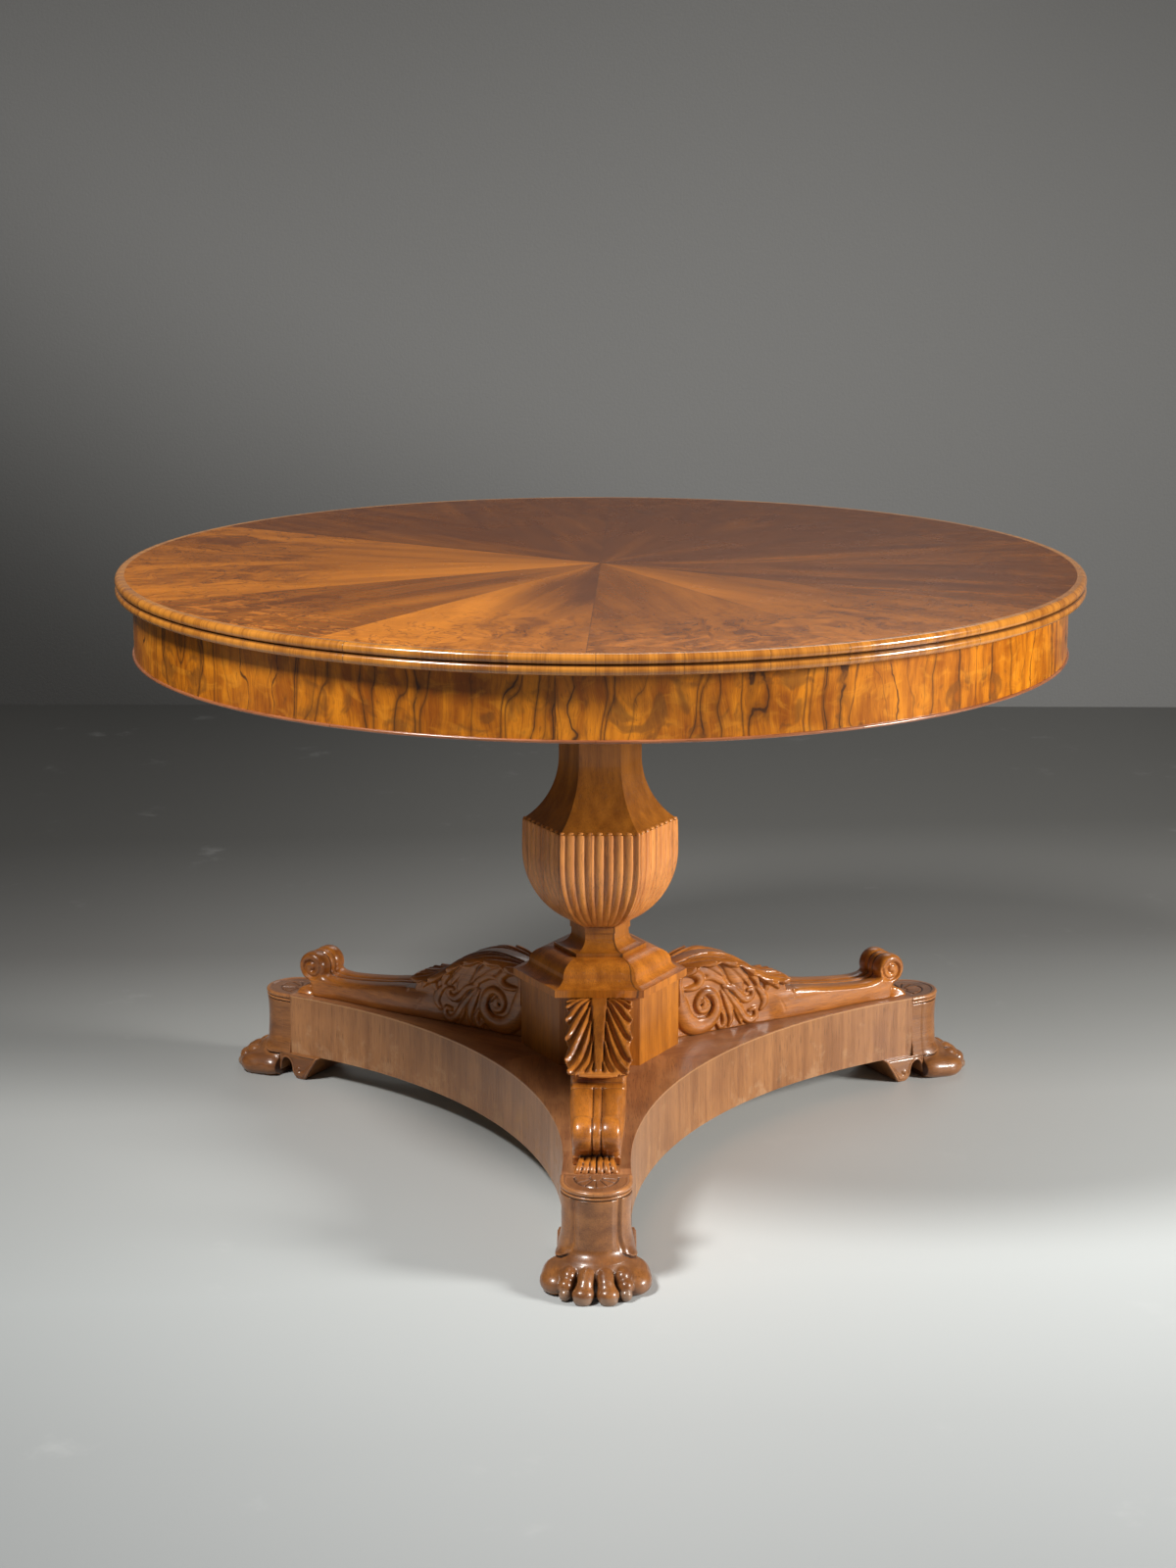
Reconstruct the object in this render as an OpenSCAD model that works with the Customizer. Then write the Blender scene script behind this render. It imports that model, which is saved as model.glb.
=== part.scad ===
// Round pedestal centre table in walnut: a veneered drum top on a six-sided
// baluster column, which stands on a three-armed plinth with carved brackets and paw feet.
// The origin is on the floor under the column's axis. The front arm points along -Y.

/* [Top] */
// Height of the top surface above the floor
table_h = 760; // [700:5:820]
// Diameter over the edge moulding
top_d = 1220; // [1100:10:1400]
// Diameter of each of the two beads on the edge
edge_bead_d = 12; // [8:0.5:16]
// Flat width of the edge strip inside its beads
edge_flat = 6; // [3:0.5:15]
// Number of cross-grain lengths in the edge moulding
edge_lengths = 40; // [24:1:60]
// Thickness of the walnut veneer
veneer_t = 1.2; // [0.8:0.1:3]
// Number of softwood boards in the blind top
core_boards = 5; // [3:1:8]
// Hairline at each glued joint between neighbours of one kind
glue_line = 0.1; // [0.05:0.05:0.3]
// Direction of the first seam between veneer wedges, from the front
seam_turn = -1; // [-15:0.5:15]

/* [Frieze] */
// How far the frieze's veneer stands in from the top's edge
frieze_inset = 21; // [14:1:40]
// Depth of the frieze with its bottom bead
frieze_h = 78; // [60:1:110]
// Thickness of the built-up ring under the veneer
frieze_wall = 32; // [20:1:45]
// Number of blocks in each of the ring's two courses
course_blocks = 12; // [10:1:18]
// Number of veneer panels round the frieze
frieze_panels = 7; // [4:1:12]
// Direction of the first seam between frieze panels, from the front
panel_turn = -4.3; // [-20:0.1:20]
// Height of the thin bead under the frieze
rim_bead_h = 4; // [3:0.5:8]
// How far the thin bead stands out from the veneer
rim_bead_out = 2.5; // [1:0.5:5]
// Number of lengths in the thin bead
rim_lengths = 12; // [8:1:24]

/* [Bearers] */
// Width of the two crossed bearers under the top
bearer_w = 90; // [60:2:120]
// Height of the bearers
bearer_h = 40; // [30:1:44]
// Width across the flats of the block on the column's head
head_w = 250; // [200:5:320]
// Thickness of the head block
head_t = 32; // [26:1:36]
// Cut-off at each corner of the head block
head_corner = 40; // [10:5:60]
// Width and height of the glue blocks behind the frieze
glue_block_w = 30; // [20:1:34]
// Length of each glue block
glue_block_l = 80; // [50:5:110]
// Number of glue blocks
glue_block_count = 12; // [8:4:16]

/* [Column] */
// Distance from the axis to a corner of the straight neck
neck_r = 53.5; // [44:0.5:62]
// Height of the hollow curve between neck and shoulder
neck_curve_h = 85; // [60:1:110]
// Distance from the axis to a corner of the shoulder
shoulder_r = 100.6; // [85:0.2:120]
// Distance from the axis to a corner of the urn at its belly
urn_r = 101.5; // [88:0.5:122]
// Height of the reeded urn
urn_h = 137; // [110:1:160]
// Height of the belly above the urn's foot
belly_h = 97; // [70:1:105]
// Depth of the hollows between reeds at the belly
reed_depth = 3.2; // [1.5:0.1:5]
// Distance from the axis to a corner of the collar under the urn
collar_r = 39.4; // [34:0.2:46]
// Height of the collar
collar_h = 8; // [4:0.5:14]
// Height of the waist with its collar and its foot fillet
waist_h = 35; // [28:1:60]
// Distance from the axis to a corner at the narrowest point of the waist
waist_r = 37.5; // [32:0.5:44]
// Distance from the axis to a corner of the waist's foot fillet
fillet_r = 60.4; // [50:0.2:70]
// Height of the foot fillet
fillet_h = 5; // [3:0.5:8]

/* [Pedestal block] */
// Height of the moulded cap over its lip
ogee_h = 30; // [20:1:45]
// Distance from the axis to a corner where the ogee's two curves meet
ogee_r = 93; // [78:1:100]
// Height of the ogee's lower, hollow curve
hollow_h = 12; // [8:1:16]
// Distance from the axis to a corner of the lip
lip_r = 114; // [108:1:124]
// Height of the lip
lip_h = 10; // [6:0.5:16]
// Distance from the axis to a corner of the block
block_r = 103.5; // [92:0.5:106]
// Height of the block
block_h = 94; // [80:1:120]
// Thickness of the six mitred face boards
face_t = 8; // [5:0.5:14]

/* [Plinth] */
// Height of the plinth, from its underside to its top
plinth_h = 84; // [70:1:110]
// Distance from the axis to the joint of arm and end block
arm_reach = 476; // [440:2:540]
// Width of an arm at that joint
arm_w = 82; // [70:1:100]
// Distance from the axis to the hollow side between two arms
hollow_r = 156.5; // [135:0.5:175]
// Length of the end block's straight part
end_flat = 18; // [10:1:40]
// Height of the carved cap on the end block
cap_h = 11; // [9:0.5:16]
// Radius of the cap's upper bead
cap_bead_r = 3; // [2:0.25:4]
// Radius of the cap's lower bead
cap_bead_low_r = 1.75; // [1:0.25:2]
// How far the cap's upper bead stands out from the end block
cap_bead_out = 1.5; // [0.5:0.25:2.5]
// Radius of the two flutes on the end block's front
flute_r = 3.5; // [2:0.25:5]
// Direction of each flute from the end block's centre line
flute_turn = 42; // [30:1:60]

/* [Feet] */
// Height of the paw feet, which is the plinth's height above the floor
paw_h = 35; // [28:1:50]
// How far the claws reach out past the end block
claw_out = 48; // [38:1:60]
// Radius of the round lobe at each side of a paw
lobe_r = 18; // [14:0.5:22]
// Width over the side lobes
paw_w = 130; // [116:1:150]
// Radius of a front toe at its knuckle
knuckle_r = 11; // [8:0.5:13]
// Radius of a claw
claw_r = 8; // [6:0.5:10]
// Spacing of the two front toes
toe_pitch = 29.5; // [24:0.5:34]
// Spacing of the two outer toes
outer_toe_pitch = 78; // [66:1:92]
// Width of the scroll behind the paw
heel_w = 94; // [80:1:110]
// Length of the scroll behind the paw
heel_l = 64; // [50:1:80]

/* [Scroll brackets] */
// Height of the bracket's crest above the plinth
crest_h = 112; // [90:1:120]
// Distance of the crest from the block's face
crest_out = 56; // [40:1:80]
// Width of the bracket at the block
bracket_w = 78; // [66:1:90]
// Width of the bracket at its roll
roll_w = 54; // [44:1:64]
// Radius of the roll at the outer end
roll_r = 21; // [16:0.5:26]
// How far the roll's centre stands back from the arm's end
roll_inset = 29; // [24:1:50]
// Height of the roll's centre above the plinth
roll_h = 44.5; // [38:0.5:52]
// Height of the strap at its lowest, above the plinth
strap_h = 35; // [26:0.5:44]
// Length of the leaf on the bracket, from the block to its curled tip
leaf_l = 215; // [190:1:235]
// Radius of the curled lip at the leaf's tip
leaf_lip_r = 8; // [4:0.5:10]
// Radius of the spiral on each flank
spiral_r = 34; // [26:0.5:38]
// How far each spiral stands out from the flank
spiral_out = 2; // [1:0.5:5]
// Number of lobes on the small shell under the roll
shell_lobes = 6; // [4:1:8]

/* [Iron and screws] */
// Diameter of the tie rod through the column
rod_d = 14; // [10:1:18]
// Clearance round the rod, on the diameter
rod_gap = 1; // [0.5:0.1:1.5]
// Diameter of the rod's washers
washer_d = 40; // [32:1:44]
// Thickness of the washers
washer_t = 3; // [2:0.5:5]
// Width across the flats of the rod's square nuts
nut_w = 24; // [20:1:27]
// Thickness of the nuts
nut_t = 10; // [8:1:12]
// Shank diameter of the wood screws
screw_d = 6; // [4:0.5:7]
// Head diameter of the wood screws
screw_head_d = 12; // [9:0.5:14]
// Depth that a screw's tip goes into the second piece
screw_bite = 14; // [10:1:20]
// Diameter of the dowels between arm and end block
dowel_d = 10; // [8:1:14]
// Length of those dowels
dowel_l = 60; // [40:2:70]

/* [Hidden] */
$fn = 96;

// The three arms, with the turn that brings the front arm onto each
arm_names = ["front", "right", "left"];
arm_step = 120;
wedge_count = 12;
wedge_names = [for (i = [1:wedge_count]) str("top_veneer_", i)];
side_names = ["plinth_side_1", "plinth_side_2", "plinth_side_3"];
bearer_turns = [0, 90, 180, 270];
corner_k = cos(30);
eps = 0.01;

walnut = "#a5642c";
amber = "#c07a2e";
figured = "#9a5a2a";
golden = "#bf7a2c";
reed_tan = "#b56f38";
carved = "#8f4f1f";
pine = "#d8b880";
iron = "#4a4a4c";

// Levels, counted up from the floor
plinth_top = paw_h + plinth_h;
block_top = plinth_top + block_h;
lip_top = block_top + lip_h;
cap_top = lip_top + ogee_h;
waist_top = cap_top + waist_h;
urn_top = waist_top + urn_h;
edge_h = 2*edge_bead_d;
bearer_top = table_h - edge_h;
bearer_base = bearer_top - bearer_h;
head_base = bearer_base - head_t;
frieze_base = bearer_top - frieze_h;
core_top = table_h - veneer_t;
end_top = plinth_top - cap_h;

// Radii of the top and the frieze
top_r = top_d/2;
nose_r = top_r - edge_bead_d/2;
field_r = nose_r - edge_flat;
frieze_r = top_r - frieze_inset;
ring_r = frieze_r - veneer_t;
drum_r = ring_r - frieze_wall;

// Column and block
block_flat = block_r*corner_k;
bore_d = rod_d + rod_gap;
pocket_d = washer_d + 4;
nut_play = 3;
pocket_h = washer_t + nut_t + nut_play;
rod_tail = 2;
screw_play = 0.2;
head_play = 1;
screw_head_h = 4;
point_h = 6;

// Plinth outline: each hollow side is an arc that joins two arm ends
arm_half = arm_w/2;
arc_centre = (arm_half*arm_half + arm_reach*arm_reach - hollow_r*hollow_r)
    / (2*(arm_half*sin(60) + arm_reach*cos(60) - hollow_r));
arc_r = arc_centre - hollow_r;
end_centre = arm_reach + end_flat;
end_reach = end_centre + arm_half;
claw_reach = end_reach + claw_out;
roll_reach = arm_reach - roll_inset;
leaf_reach = block_flat + leaf_l;
spiral_reach = block_flat + spiral_r*1.18;
arc_fn = 360;

// Places of screws along the bearers, the head block, the arms and the feet
bearer_screw_reach = [drum_r*0.36, drum_r*0.84];
head_screw_reach = head_w*0.38;
bearer_pocket = 12;
bracket_screw_reach = [block_flat + crest_out*1.5, roll_reach - 3.5*roll_r];
bracket_pocket = plinth_h*0.6;
foot_pocket = 12;
foot_screw_reach = (end_centre + end_reach)/2;
foot_screw_x = arm_w/4;
dowel_x = arm_w/5;
dowel_z = paw_h + plinth_h/2;
bearer_screw_l = bearer_h - bearer_pocket + screw_bite;
head_screw_l = head_t + screw_bite;
bracket_screw_l = plinth_h - bracket_pocket + screw_bite;
foot_screw_l = paw_h - foot_pocket + screw_bite;
rod_base = paw_h + pocket_h - washer_t - nut_t - rod_tail;
rod_top = bearer_base - pocket_h + washer_t + nut_t + rod_tail;

// The urn's reeds: how many points round each, their section, and the urn's two half heights
reeds_per_face = 8;
reed_points = 4;
ring_points = 6*reeds_per_face*reed_points;
reed_crown = [1, 0.8, 0, 0.8];
reed_round = 2.5;
urn_levels = [0, 0.07, 0.15, 0.25, 0.37, 0.5, 0.68, 0.86, 0.975, 1];
urn_b = belly_h/sqrt(1 - pow(collar_r/urn_r, 2));
urn_b_top = (urn_h - belly_h)/sqrt(1 - pow(shoulder_r/urn_r, 2));

// Steps where the waist's curve and the cap's curve start on their fillet
waist_step = 3;
cap_step = 1.5;

// Low leaf lobes at each side of the end block's foot, and the toes' knuckles
fetlock_r = 16;
fetlock_x = arm_half + 7 - fetlock_r;
toe_rise = paw_h - knuckle_r - 2;
toe_run = 14;

function polar(r, a) = [r*sin(a), -r*cos(a)];
function arc_points(cx, cy, rx, ry, a0, a1, n) =
    [for (i = [0:n]) let (a = a0 + (a1 - a0)*i/n) [cx + rx*cos(a), cy + ry*sin(a)]];
function bezier(p, q, r, s, n) =
    [for (i = [0:n]) let (t = i/n, u = 1 - t) u*u*u*p + 3*u*u*t*q + 3*u*t*t*r + t*t*t*s];
function both_sides(half) =
    concat(half, [for (i = [len(half) - 1:-1:0]) [-half[i].x, half[i].y]]);

// One sector of a disc between two directions, with half a joint's hairline off each side
module sector(r, a0, a1, joint = 0) {
    middle = (a0 + a1)/2;
    apex = polar(joint/2/sin((a1 - a0)/2), middle);
    intersection() {
        circle(r);
        polygon(concat([apex], [for (a = [a0, middle, a1]) apex + polar(r*1.2, a)]));
    }
}

// One sector of a ring
module ring_sector(inner, outer, a0, a1) {
    difference() {
        sector(outer, a0, a1, glue_line);
        circle(inner);
    }
}

// Equal lengths of a moulding that runs round the top
module moulded_ring(count, r) {
    step = 360/count;
    joint = atan(glue_line/r);
    for (i = [0:count - 1])
        rotate(i*step + joint/2) rotate_extrude(angle = step - joint) children();
}

// A side outline in distance from the axis and height, drawn along the front arm
module along_arm(width) {
    rotate([90, 0, -90]) linear_extrude(width, center = true) children();
}

// A six-sided turning: three prisms of one outline, crossed
module hex_turning(outline) {
    half = [for (p = outline) [p.x*corner_k, p.y]];
    reach = 2*max([for (p = outline) p.x]);
    intersection() {
        rotate([90, 0, 90]) linear_extrude(reach, center = true) polygon(both_sides(half));
        rotate([90, 0, 150]) linear_extrude(reach, center = true) polygon(both_sides(half));
        rotate([90, 0, 210]) linear_extrude(reach, center = true) polygon(both_sides(half));
    }
}

module hex_plate(corner_r) {
    circle(corner_r, $fn = 6);
}

module rod_bore(base, top) {
    translate([0, 0, base - eps]) cylinder(d = bore_d, h = top - base + 2*eps);
}

// A countersunk wood screw that points up, with its head's face at z = 0
module wood_screw(length) {
    cylinder(d1 = screw_head_d, d2 = screw_d, h = screw_head_h);
    cylinder(d = screw_d, h = length - point_h);
    translate([0, 0, length - point_h]) cylinder(d1 = screw_d, d2 = 1, h = point_h);
}

// The hole that such a screw needs: a pocket below its head, and a way for its shank
module screw_way(pocket, length) {
    hole_d = screw_d + screw_play;
    translate([0, 0, -pocket - eps])
        cylinder(d = screw_head_d + head_play, h = pocket + screw_head_h + eps);
    cylinder(d = hole_d, h = length + screw_play);
}

module bearer_screw_places() {
    for (turn = bearer_turns, reach = bearer_screw_reach)
        rotate(turn) translate([reach, 0, bearer_base + bearer_pocket]) children();
}

module head_screw_places() {
    for (turn = bearer_turns) rotate(turn) translate([head_screw_reach, 0, head_base]) children();
}

module bracket_screw_places() {
    for (reach = bracket_screw_reach) translate([0, -reach, paw_h + bracket_pocket]) children();
}

module foot_screw_places() {
    for (side = [-1, 1]) translate([side*foot_screw_x, -foot_screw_reach, foot_pocket]) children();
}

// Top

module top_core_boards() {
    board_w = 2*field_r/core_boards;
    color(pine)
        for (i = [0:core_boards - 1])
            difference() {
                translate([0, 0, bearer_top]) linear_extrude(core_top - bearer_top)
                    intersection() {
                        circle(field_r);
                        translate([-top_r, -field_r + i*board_w]) square([top_d, board_w - glue_line]);
                    }
                bearer_screw_places() screw_way(0, bearer_screw_l);
            }
}

module top_veneer(i) {
    step = 360/wedge_count;
    color(i % 2 == 0 ? walnut : figured)
        translate([0, 0, core_top]) linear_extrude(veneer_t)
            sector(field_r, seam_turn + i*step, seam_turn + (i + 1)*step);
}

// The right half of a round bead, whose flat is at x = 0
module half_bead(d) {
    intersection() {
        circle(d = d);
        translate([0, -d/2]) square([d/2, d]);
    }
}

module edge_moulding() {
    color(amber)
        moulded_ring(edge_lengths, field_r) {
            translate([field_r, bearer_top]) square([edge_flat, edge_h]);
            for (row = [0.5, 1.5])
                translate([nose_r, bearer_top + row*edge_bead_d]) half_bead(edge_bead_d);
        }
}

// Frieze

module frieze_course(row) {
    step = 360/course_blocks;
    course_h = (frieze_h - rim_bead_h)/2;
    color(pine)
        translate([0, 0, frieze_base + rim_bead_h + row*course_h]) linear_extrude(course_h)
            for (i = [0:course_blocks - 1])
                ring_sector(drum_r, ring_r, (i + row/2)*step, (i + 1 + row/2)*step);
}

module frieze_veneer() {
    step = 360/frieze_panels;
    color(golden)
        for (i = [0:frieze_panels - 1])
            translate([0, 0, frieze_base + rim_bead_h]) linear_extrude(frieze_h - rim_bead_h)
                ring_sector(ring_r, frieze_r, panel_turn + i*step, panel_turn + (i + 1)*step);
}

module frieze_rim_bead() {
    bead_r = frieze_r + rim_bead_out - rim_bead_h/2;
    inner_r = ring_r - frieze_wall/2;
    color(reed_tan)
        moulded_ring(rim_lengths, inner_r) {
            translate([inner_r, frieze_base]) square([bead_r - inner_r, rim_bead_h]);
            translate([bead_r, frieze_base + rim_bead_h/2]) half_bead(rim_bead_h);
        }
}

// Bearers and head block

module bearer(notch_base) {
    color(pine)
        difference() {
            translate([0, 0, bearer_base]) linear_extrude(bearer_h)
                intersection() {
                    circle(drum_r);
                    square([2*top_d, bearer_w], center = true);
                }
            translate([-bearer_w/2, -bearer_w, notch_base]) cube([bearer_w, 2*bearer_w, bearer_h]);
            bearer_screw_places() screw_way(bearer_pocket, bearer_screw_l);
            head_screw_places() screw_way(0, head_screw_l);
        }
}

module bearer_long() {
    bearer(bearer_base + bearer_h/2);
}

module bearer_cross() {
    rotate(90) bearer(bearer_base - bearer_h/2);
}

module glue_blocks() {
    step = 360/glue_block_count;
    color(pine)
        for (i = [0:glue_block_count - 1])
            rotate((i + 0.5)*step)
                translate([0, 0, bearer_top - glue_block_w]) linear_extrude(glue_block_w)
                    intersection() {
                        circle(drum_r);
                        translate([drum_r - glue_block_w, -glue_block_l/2])
                            square([glue_block_w, glue_block_l]);
                    }
}

module bearer_screws() {
    color(iron) bearer_screw_places() wood_screw(bearer_screw_l);
}

module head_plan() {
    half = head_w/2;
    corner = half - head_corner;
    polygon([
        [half, -corner], [half, corner], [corner, half], [-corner, half],
        [-half, corner], [-half, -corner], [-corner, -half], [corner, -half]
    ]);
}

module column_head_block() {
    color(pine)
        difference() {
            translate([0, 0, head_base]) linear_extrude(head_t) head_plan();
            rod_bore(head_base, bearer_base);
            translate([0, 0, bearer_base - pocket_h]) cylinder(d = pocket_d, h = pocket_h + eps);
            head_screw_places() screw_way(eps, head_screw_l);
        }
}

module head_screws() {
    color(iron) head_screw_places() wood_screw(head_screw_l);
}

// Column

module column_neck() {
    bend = 2*atan((shoulder_r - neck_r)/neck_curve_h);
    curve_r = neck_curve_h/sin(bend);
    curve = arc_points(neck_r + curve_r, urn_top + neck_curve_h, curve_r, curve_r, 180 + bend, 180, 18);
    color(walnut)
        difference() {
            hex_turning(concat(curve, [[neck_r, head_base]]));
            rod_bore(urn_top, head_base);
        }
}

// The urn is hexagonal in plan. Seven reeds stand on each face, and one wraps each corner.
function urn_corner_r(h) =
    let (d = h - belly_h, b = d < 0 ? urn_b : urn_b_top)
    urn_r*sqrt(max(0, 1 - pow(d/b, 2)));
function urn_ring(level) =
    let (h = level*urn_h, r = urn_corner_r(h) - (level == 1 ? reed_round : 0), cut = reed_depth*r/urn_r)
    [for (i = [0:ring_points - 1])
        let (
            a = 30 + 360*i/ring_points,
            side = floor(i*6/ring_points),
            along = i*6/ring_points - side,
            p = polar(r, 30 + 60*side)*(1 - along) + polar(r, 90 + 60*side)*along,
            s = norm(p) - cut*(1 - reed_crown[i % reed_points])
        )
        [p.x*s/norm(p), p.y*s/norm(p), waist_top + h]];

module reeded_urn() {
    rings = len(urn_levels);
    points = [for (level = urn_levels) each urn_ring(level)];
    sides = [for (j = [0:rings - 2], i = [0:ring_points - 1])
        let (k = (i + 1) % ring_points, low = j*ring_points, high = low + ring_points)
        each [[low + i, high + k, low + k], [low + i, high + i, high + k]]];
    centres = [[0, 0, waist_top], [0, 0, urn_top]];
    ends = [for (i = [0:ring_points - 1])
        let (k = (i + 1) % ring_points, high = (rings - 1)*ring_points, centre = rings*ring_points)
        each [[i, k, centre], [high + k, high + i, centre + 1]]];
    color(reed_tan)
        difference() {
            polyhedron(concat(points, centres), concat(sides, ends));
            rod_bore(waist_top, urn_top);
        }
}

module column_waist() {
    scotia_h = waist_h - collar_h - fillet_h;
    straight_h = scotia_h/4;
    curve = arc_points(
        fillet_r - waist_step, waist_top - collar_h - straight_h,
        waist_r - fillet_r + waist_step, fillet_h + straight_h + collar_h - waist_h, 90, 0, 10);
    color(walnut)
        difference() {
            hex_turning(concat(
                [[fillet_r, cap_top], [fillet_r, cap_top + fillet_h]],
                curve,
                [[waist_r, waist_top - collar_h], [collar_r, waist_top - collar_h], [collar_r, waist_top]]
            ));
            rod_bore(cap_top, waist_top);
        }
}

module ogee_cap() {
    hollow = arc_points(lip_r, lip_top + hollow_h, ogee_r - lip_r, -hollow_h, 90, 0, 8);
    round_r = ogee_r - fillet_r - cap_step;
    round = arc_points(fillet_r + cap_step, lip_top + hollow_h, round_r, ogee_h - hollow_h, 0, 90, 10);
    color(walnut)
        difference() {
            hex_turning(concat([[lip_r, block_top]], hollow, round));
            rod_bore(block_top, cap_top);
        }
}

module block_core() {
    color(pine)
        difference() {
            translate([0, 0, plinth_top]) linear_extrude(block_h) hex_plate((block_flat - face_t)/corner_k);
            rod_bore(plinth_top, block_top);
        }
}

module block_faces() {
    color(walnut)
        for (i = [0:5])
            translate([0, 0, plinth_top]) linear_extrude(block_h)
                difference() {
                    intersection() {
                        hex_plate(block_r);
                        sector(2*block_r, 60*i - 30, 60*i + 30, glue_line);
                    }
                    hex_plate((block_flat - face_t)/corner_k);
                }
}

// Tie rod

module tie_rod() {
    color(iron) translate([0, 0, rod_base]) cylinder(d = rod_d, h = rod_top - rod_base);
}

module square_nut() {
    difference() {
        translate([-nut_w/2, -nut_w/2, 0]) cube([nut_w, nut_w, nut_t]);
        translate([0, 0, -eps]) cylinder(d = rod_d + 0.1, h = nut_t + 2*eps);
    }
}

module tie_rod_nuts() {
    color(iron) {
        translate([0, 0, paw_h + pocket_h - washer_t - nut_t]) square_nut();
        translate([0, 0, bearer_base - pocket_h + washer_t]) square_nut();
    }
}

module tie_rod_washers() {
    color(iron)
        for (base = [paw_h + pocket_h - washer_t, bearer_base - pocket_h])
            translate([0, 0, base])
                difference() {
                    cylinder(d = washer_d, h = washer_t);
                    translate([0, 0, -eps]) cylinder(d = rod_d + rod_gap/2, h = washer_t + 2*eps);
                }
}

// Plinth

module arm_plan(inset) {
    difference() {
        intersection() {
            sector(2*arm_reach, -arm_step/2, arm_step/2, glue_line);
            translate([-arm_reach, -arm_reach]) square([2*arm_reach, arm_reach]);
        }
        for (side = [-60, 60])
            rotate(side) translate([0, -arc_centre]) circle(arc_r + inset, $fn = arc_fn);
    }
}

module plinth_arm(k) {
    color(pine)
        rotate(arm_step*k)
            difference() {
                translate([0, 0, paw_h]) linear_extrude(plinth_h - veneer_t) arm_plan(veneer_t);
                rod_bore(paw_h, plinth_top);
                translate([0, 0, paw_h - eps]) cylinder(d = pocket_d, h = pocket_h + eps);
                bracket_screw_places() screw_way(bracket_pocket, bracket_screw_l);
                dowel_places() dowel_way();
            }
}

module plinth_top_veneer() {
    color(walnut)
        for (k = [0:2])
            rotate(arm_step*k)
                difference() {
                    translate([0, 0, plinth_top - veneer_t]) linear_extrude(veneer_t) arm_plan(0);
                    rod_bore(paw_h, plinth_top);
                    bracket_screw_places() screw_way(0, bracket_screw_l);
                }
}

module plinth_side(k) {
    reach = polar(arm_reach, 60);
    inward = polar(2*arm_w, -30);
    color(reed_tan)
        rotate(60 + arm_step*k) translate([0, 0, paw_h]) linear_extrude(plinth_h - veneer_t)
            intersection() {
                difference() {
                    translate([0, -arc_centre]) circle(arc_r + veneer_t, $fn = arc_fn);
                    translate([0, -arc_centre]) circle(arc_r, $fn = arc_fn);
                }
                polygon([
                    [0, 0], reach, reach + inward,
                    [-reach.x - inward.x, reach.y + inward.y], [-reach.x, reach.y]
                ]);
            }
}

// End blocks, caps and dowels

module end_plan(width) {
    translate([-width/2, -end_centre]) square([width, end_flat]);
    intersection() {
        translate([0, -end_centre]) circle(d = width);
        translate([-width, -end_centre - width]) square([2*width, width]);
    }
}

module dowel_places() {
    for (side = [-1, 1]) translate([side*dowel_x, -arm_reach, dowel_z]) rotate([90, 0, 0]) children();
}

module dowel_way() {
    way_l = dowel_l + 1;
    translate([0, 0, -way_l/2]) cylinder(d = dowel_d + screw_play, h = way_l);
}

module end_block(k) {
    flute_reach = arm_half + flute_r*0.35;
    color(carved)
        rotate(arm_step*k)
            difference() {
                union() {
                    translate([0, 0, paw_h]) linear_extrude(end_top - paw_h) end_plan(arm_w);
                    intersection() {
                        for (side = [-1, 1])
                            translate([side*fetlock_x, -end_centre, paw_h + fetlock_r/3]) sphere(fetlock_r);
                        translate([-arm_w, -end_centre - arm_w, paw_h]) cube([2*arm_w, 2*arm_w, plinth_h]);
                    }
                }
                for (side = [-1, 1])
                    translate([0, -end_centre, paw_h + fetlock_r]) rotate(side*flute_turn)
                        translate([0, -flute_reach, 0]) cylinder(r = flute_r, h = plinth_h);
                dowel_places() dowel_way();
                foot_screw_places() screw_way(0, foot_screw_l);
            }
}

module end_dowels() {
    color(pine)
        for (k = [0:2])
            rotate(arm_step*k) dowel_places() translate([0, 0, -dowel_l/2]) cylinder(d = dowel_d, h = dowel_l);
}

// A half-round bead that runs along the end block's two sides and round its nose
module end_bead(r, out) {
    line = arm_half + out - r;
    translate([0, -end_centre, 0]) rotate(180) rotate_extrude(angle = 180) translate([line, 0]) circle(r);
    for (side = [-1, 1])
        translate([side*line, -arm_reach, 0]) rotate([90, 0, 0]) cylinder(r = r, h = end_flat);
}

module end_cap(k) {
    color(carved)
        rotate(arm_step*k) {
            translate([0, 0, end_top]) linear_extrude(cap_h) end_plan(arm_w - cap_bead_r);
            translate([0, 0, plinth_top - cap_bead_r]) end_bead(cap_bead_r, cap_bead_out);
            translate([0, 0, plinth_top - 2.2*cap_bead_r - cap_bead_low_r])
                end_bead(cap_bead_low_r, cap_bead_out/2);
        }
}

// Paw feet

// A toe: a round knuckle, a tapering finger and a claw that rests on the floor
module toe(x, reach, size) {
    knuckle = [x, -reach + claw_r + toe_run, toe_rise*size];
    claw = [x*1.04, -reach + claw_r*size, claw_r*size*0.8];
    way = claw - knuckle;
    translate(knuckle) sphere(knuckle_r*size);
    translate(claw) sphere(claw_r*size);
    translate(knuckle)
        rotate([0, acos(way.z/norm(way)), atan2(way.y, way.x)])
            cylinder(r1 = knuckle_r*size*0.86, r2 = claw_r*size*0.96, h = norm(way));
}

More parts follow.
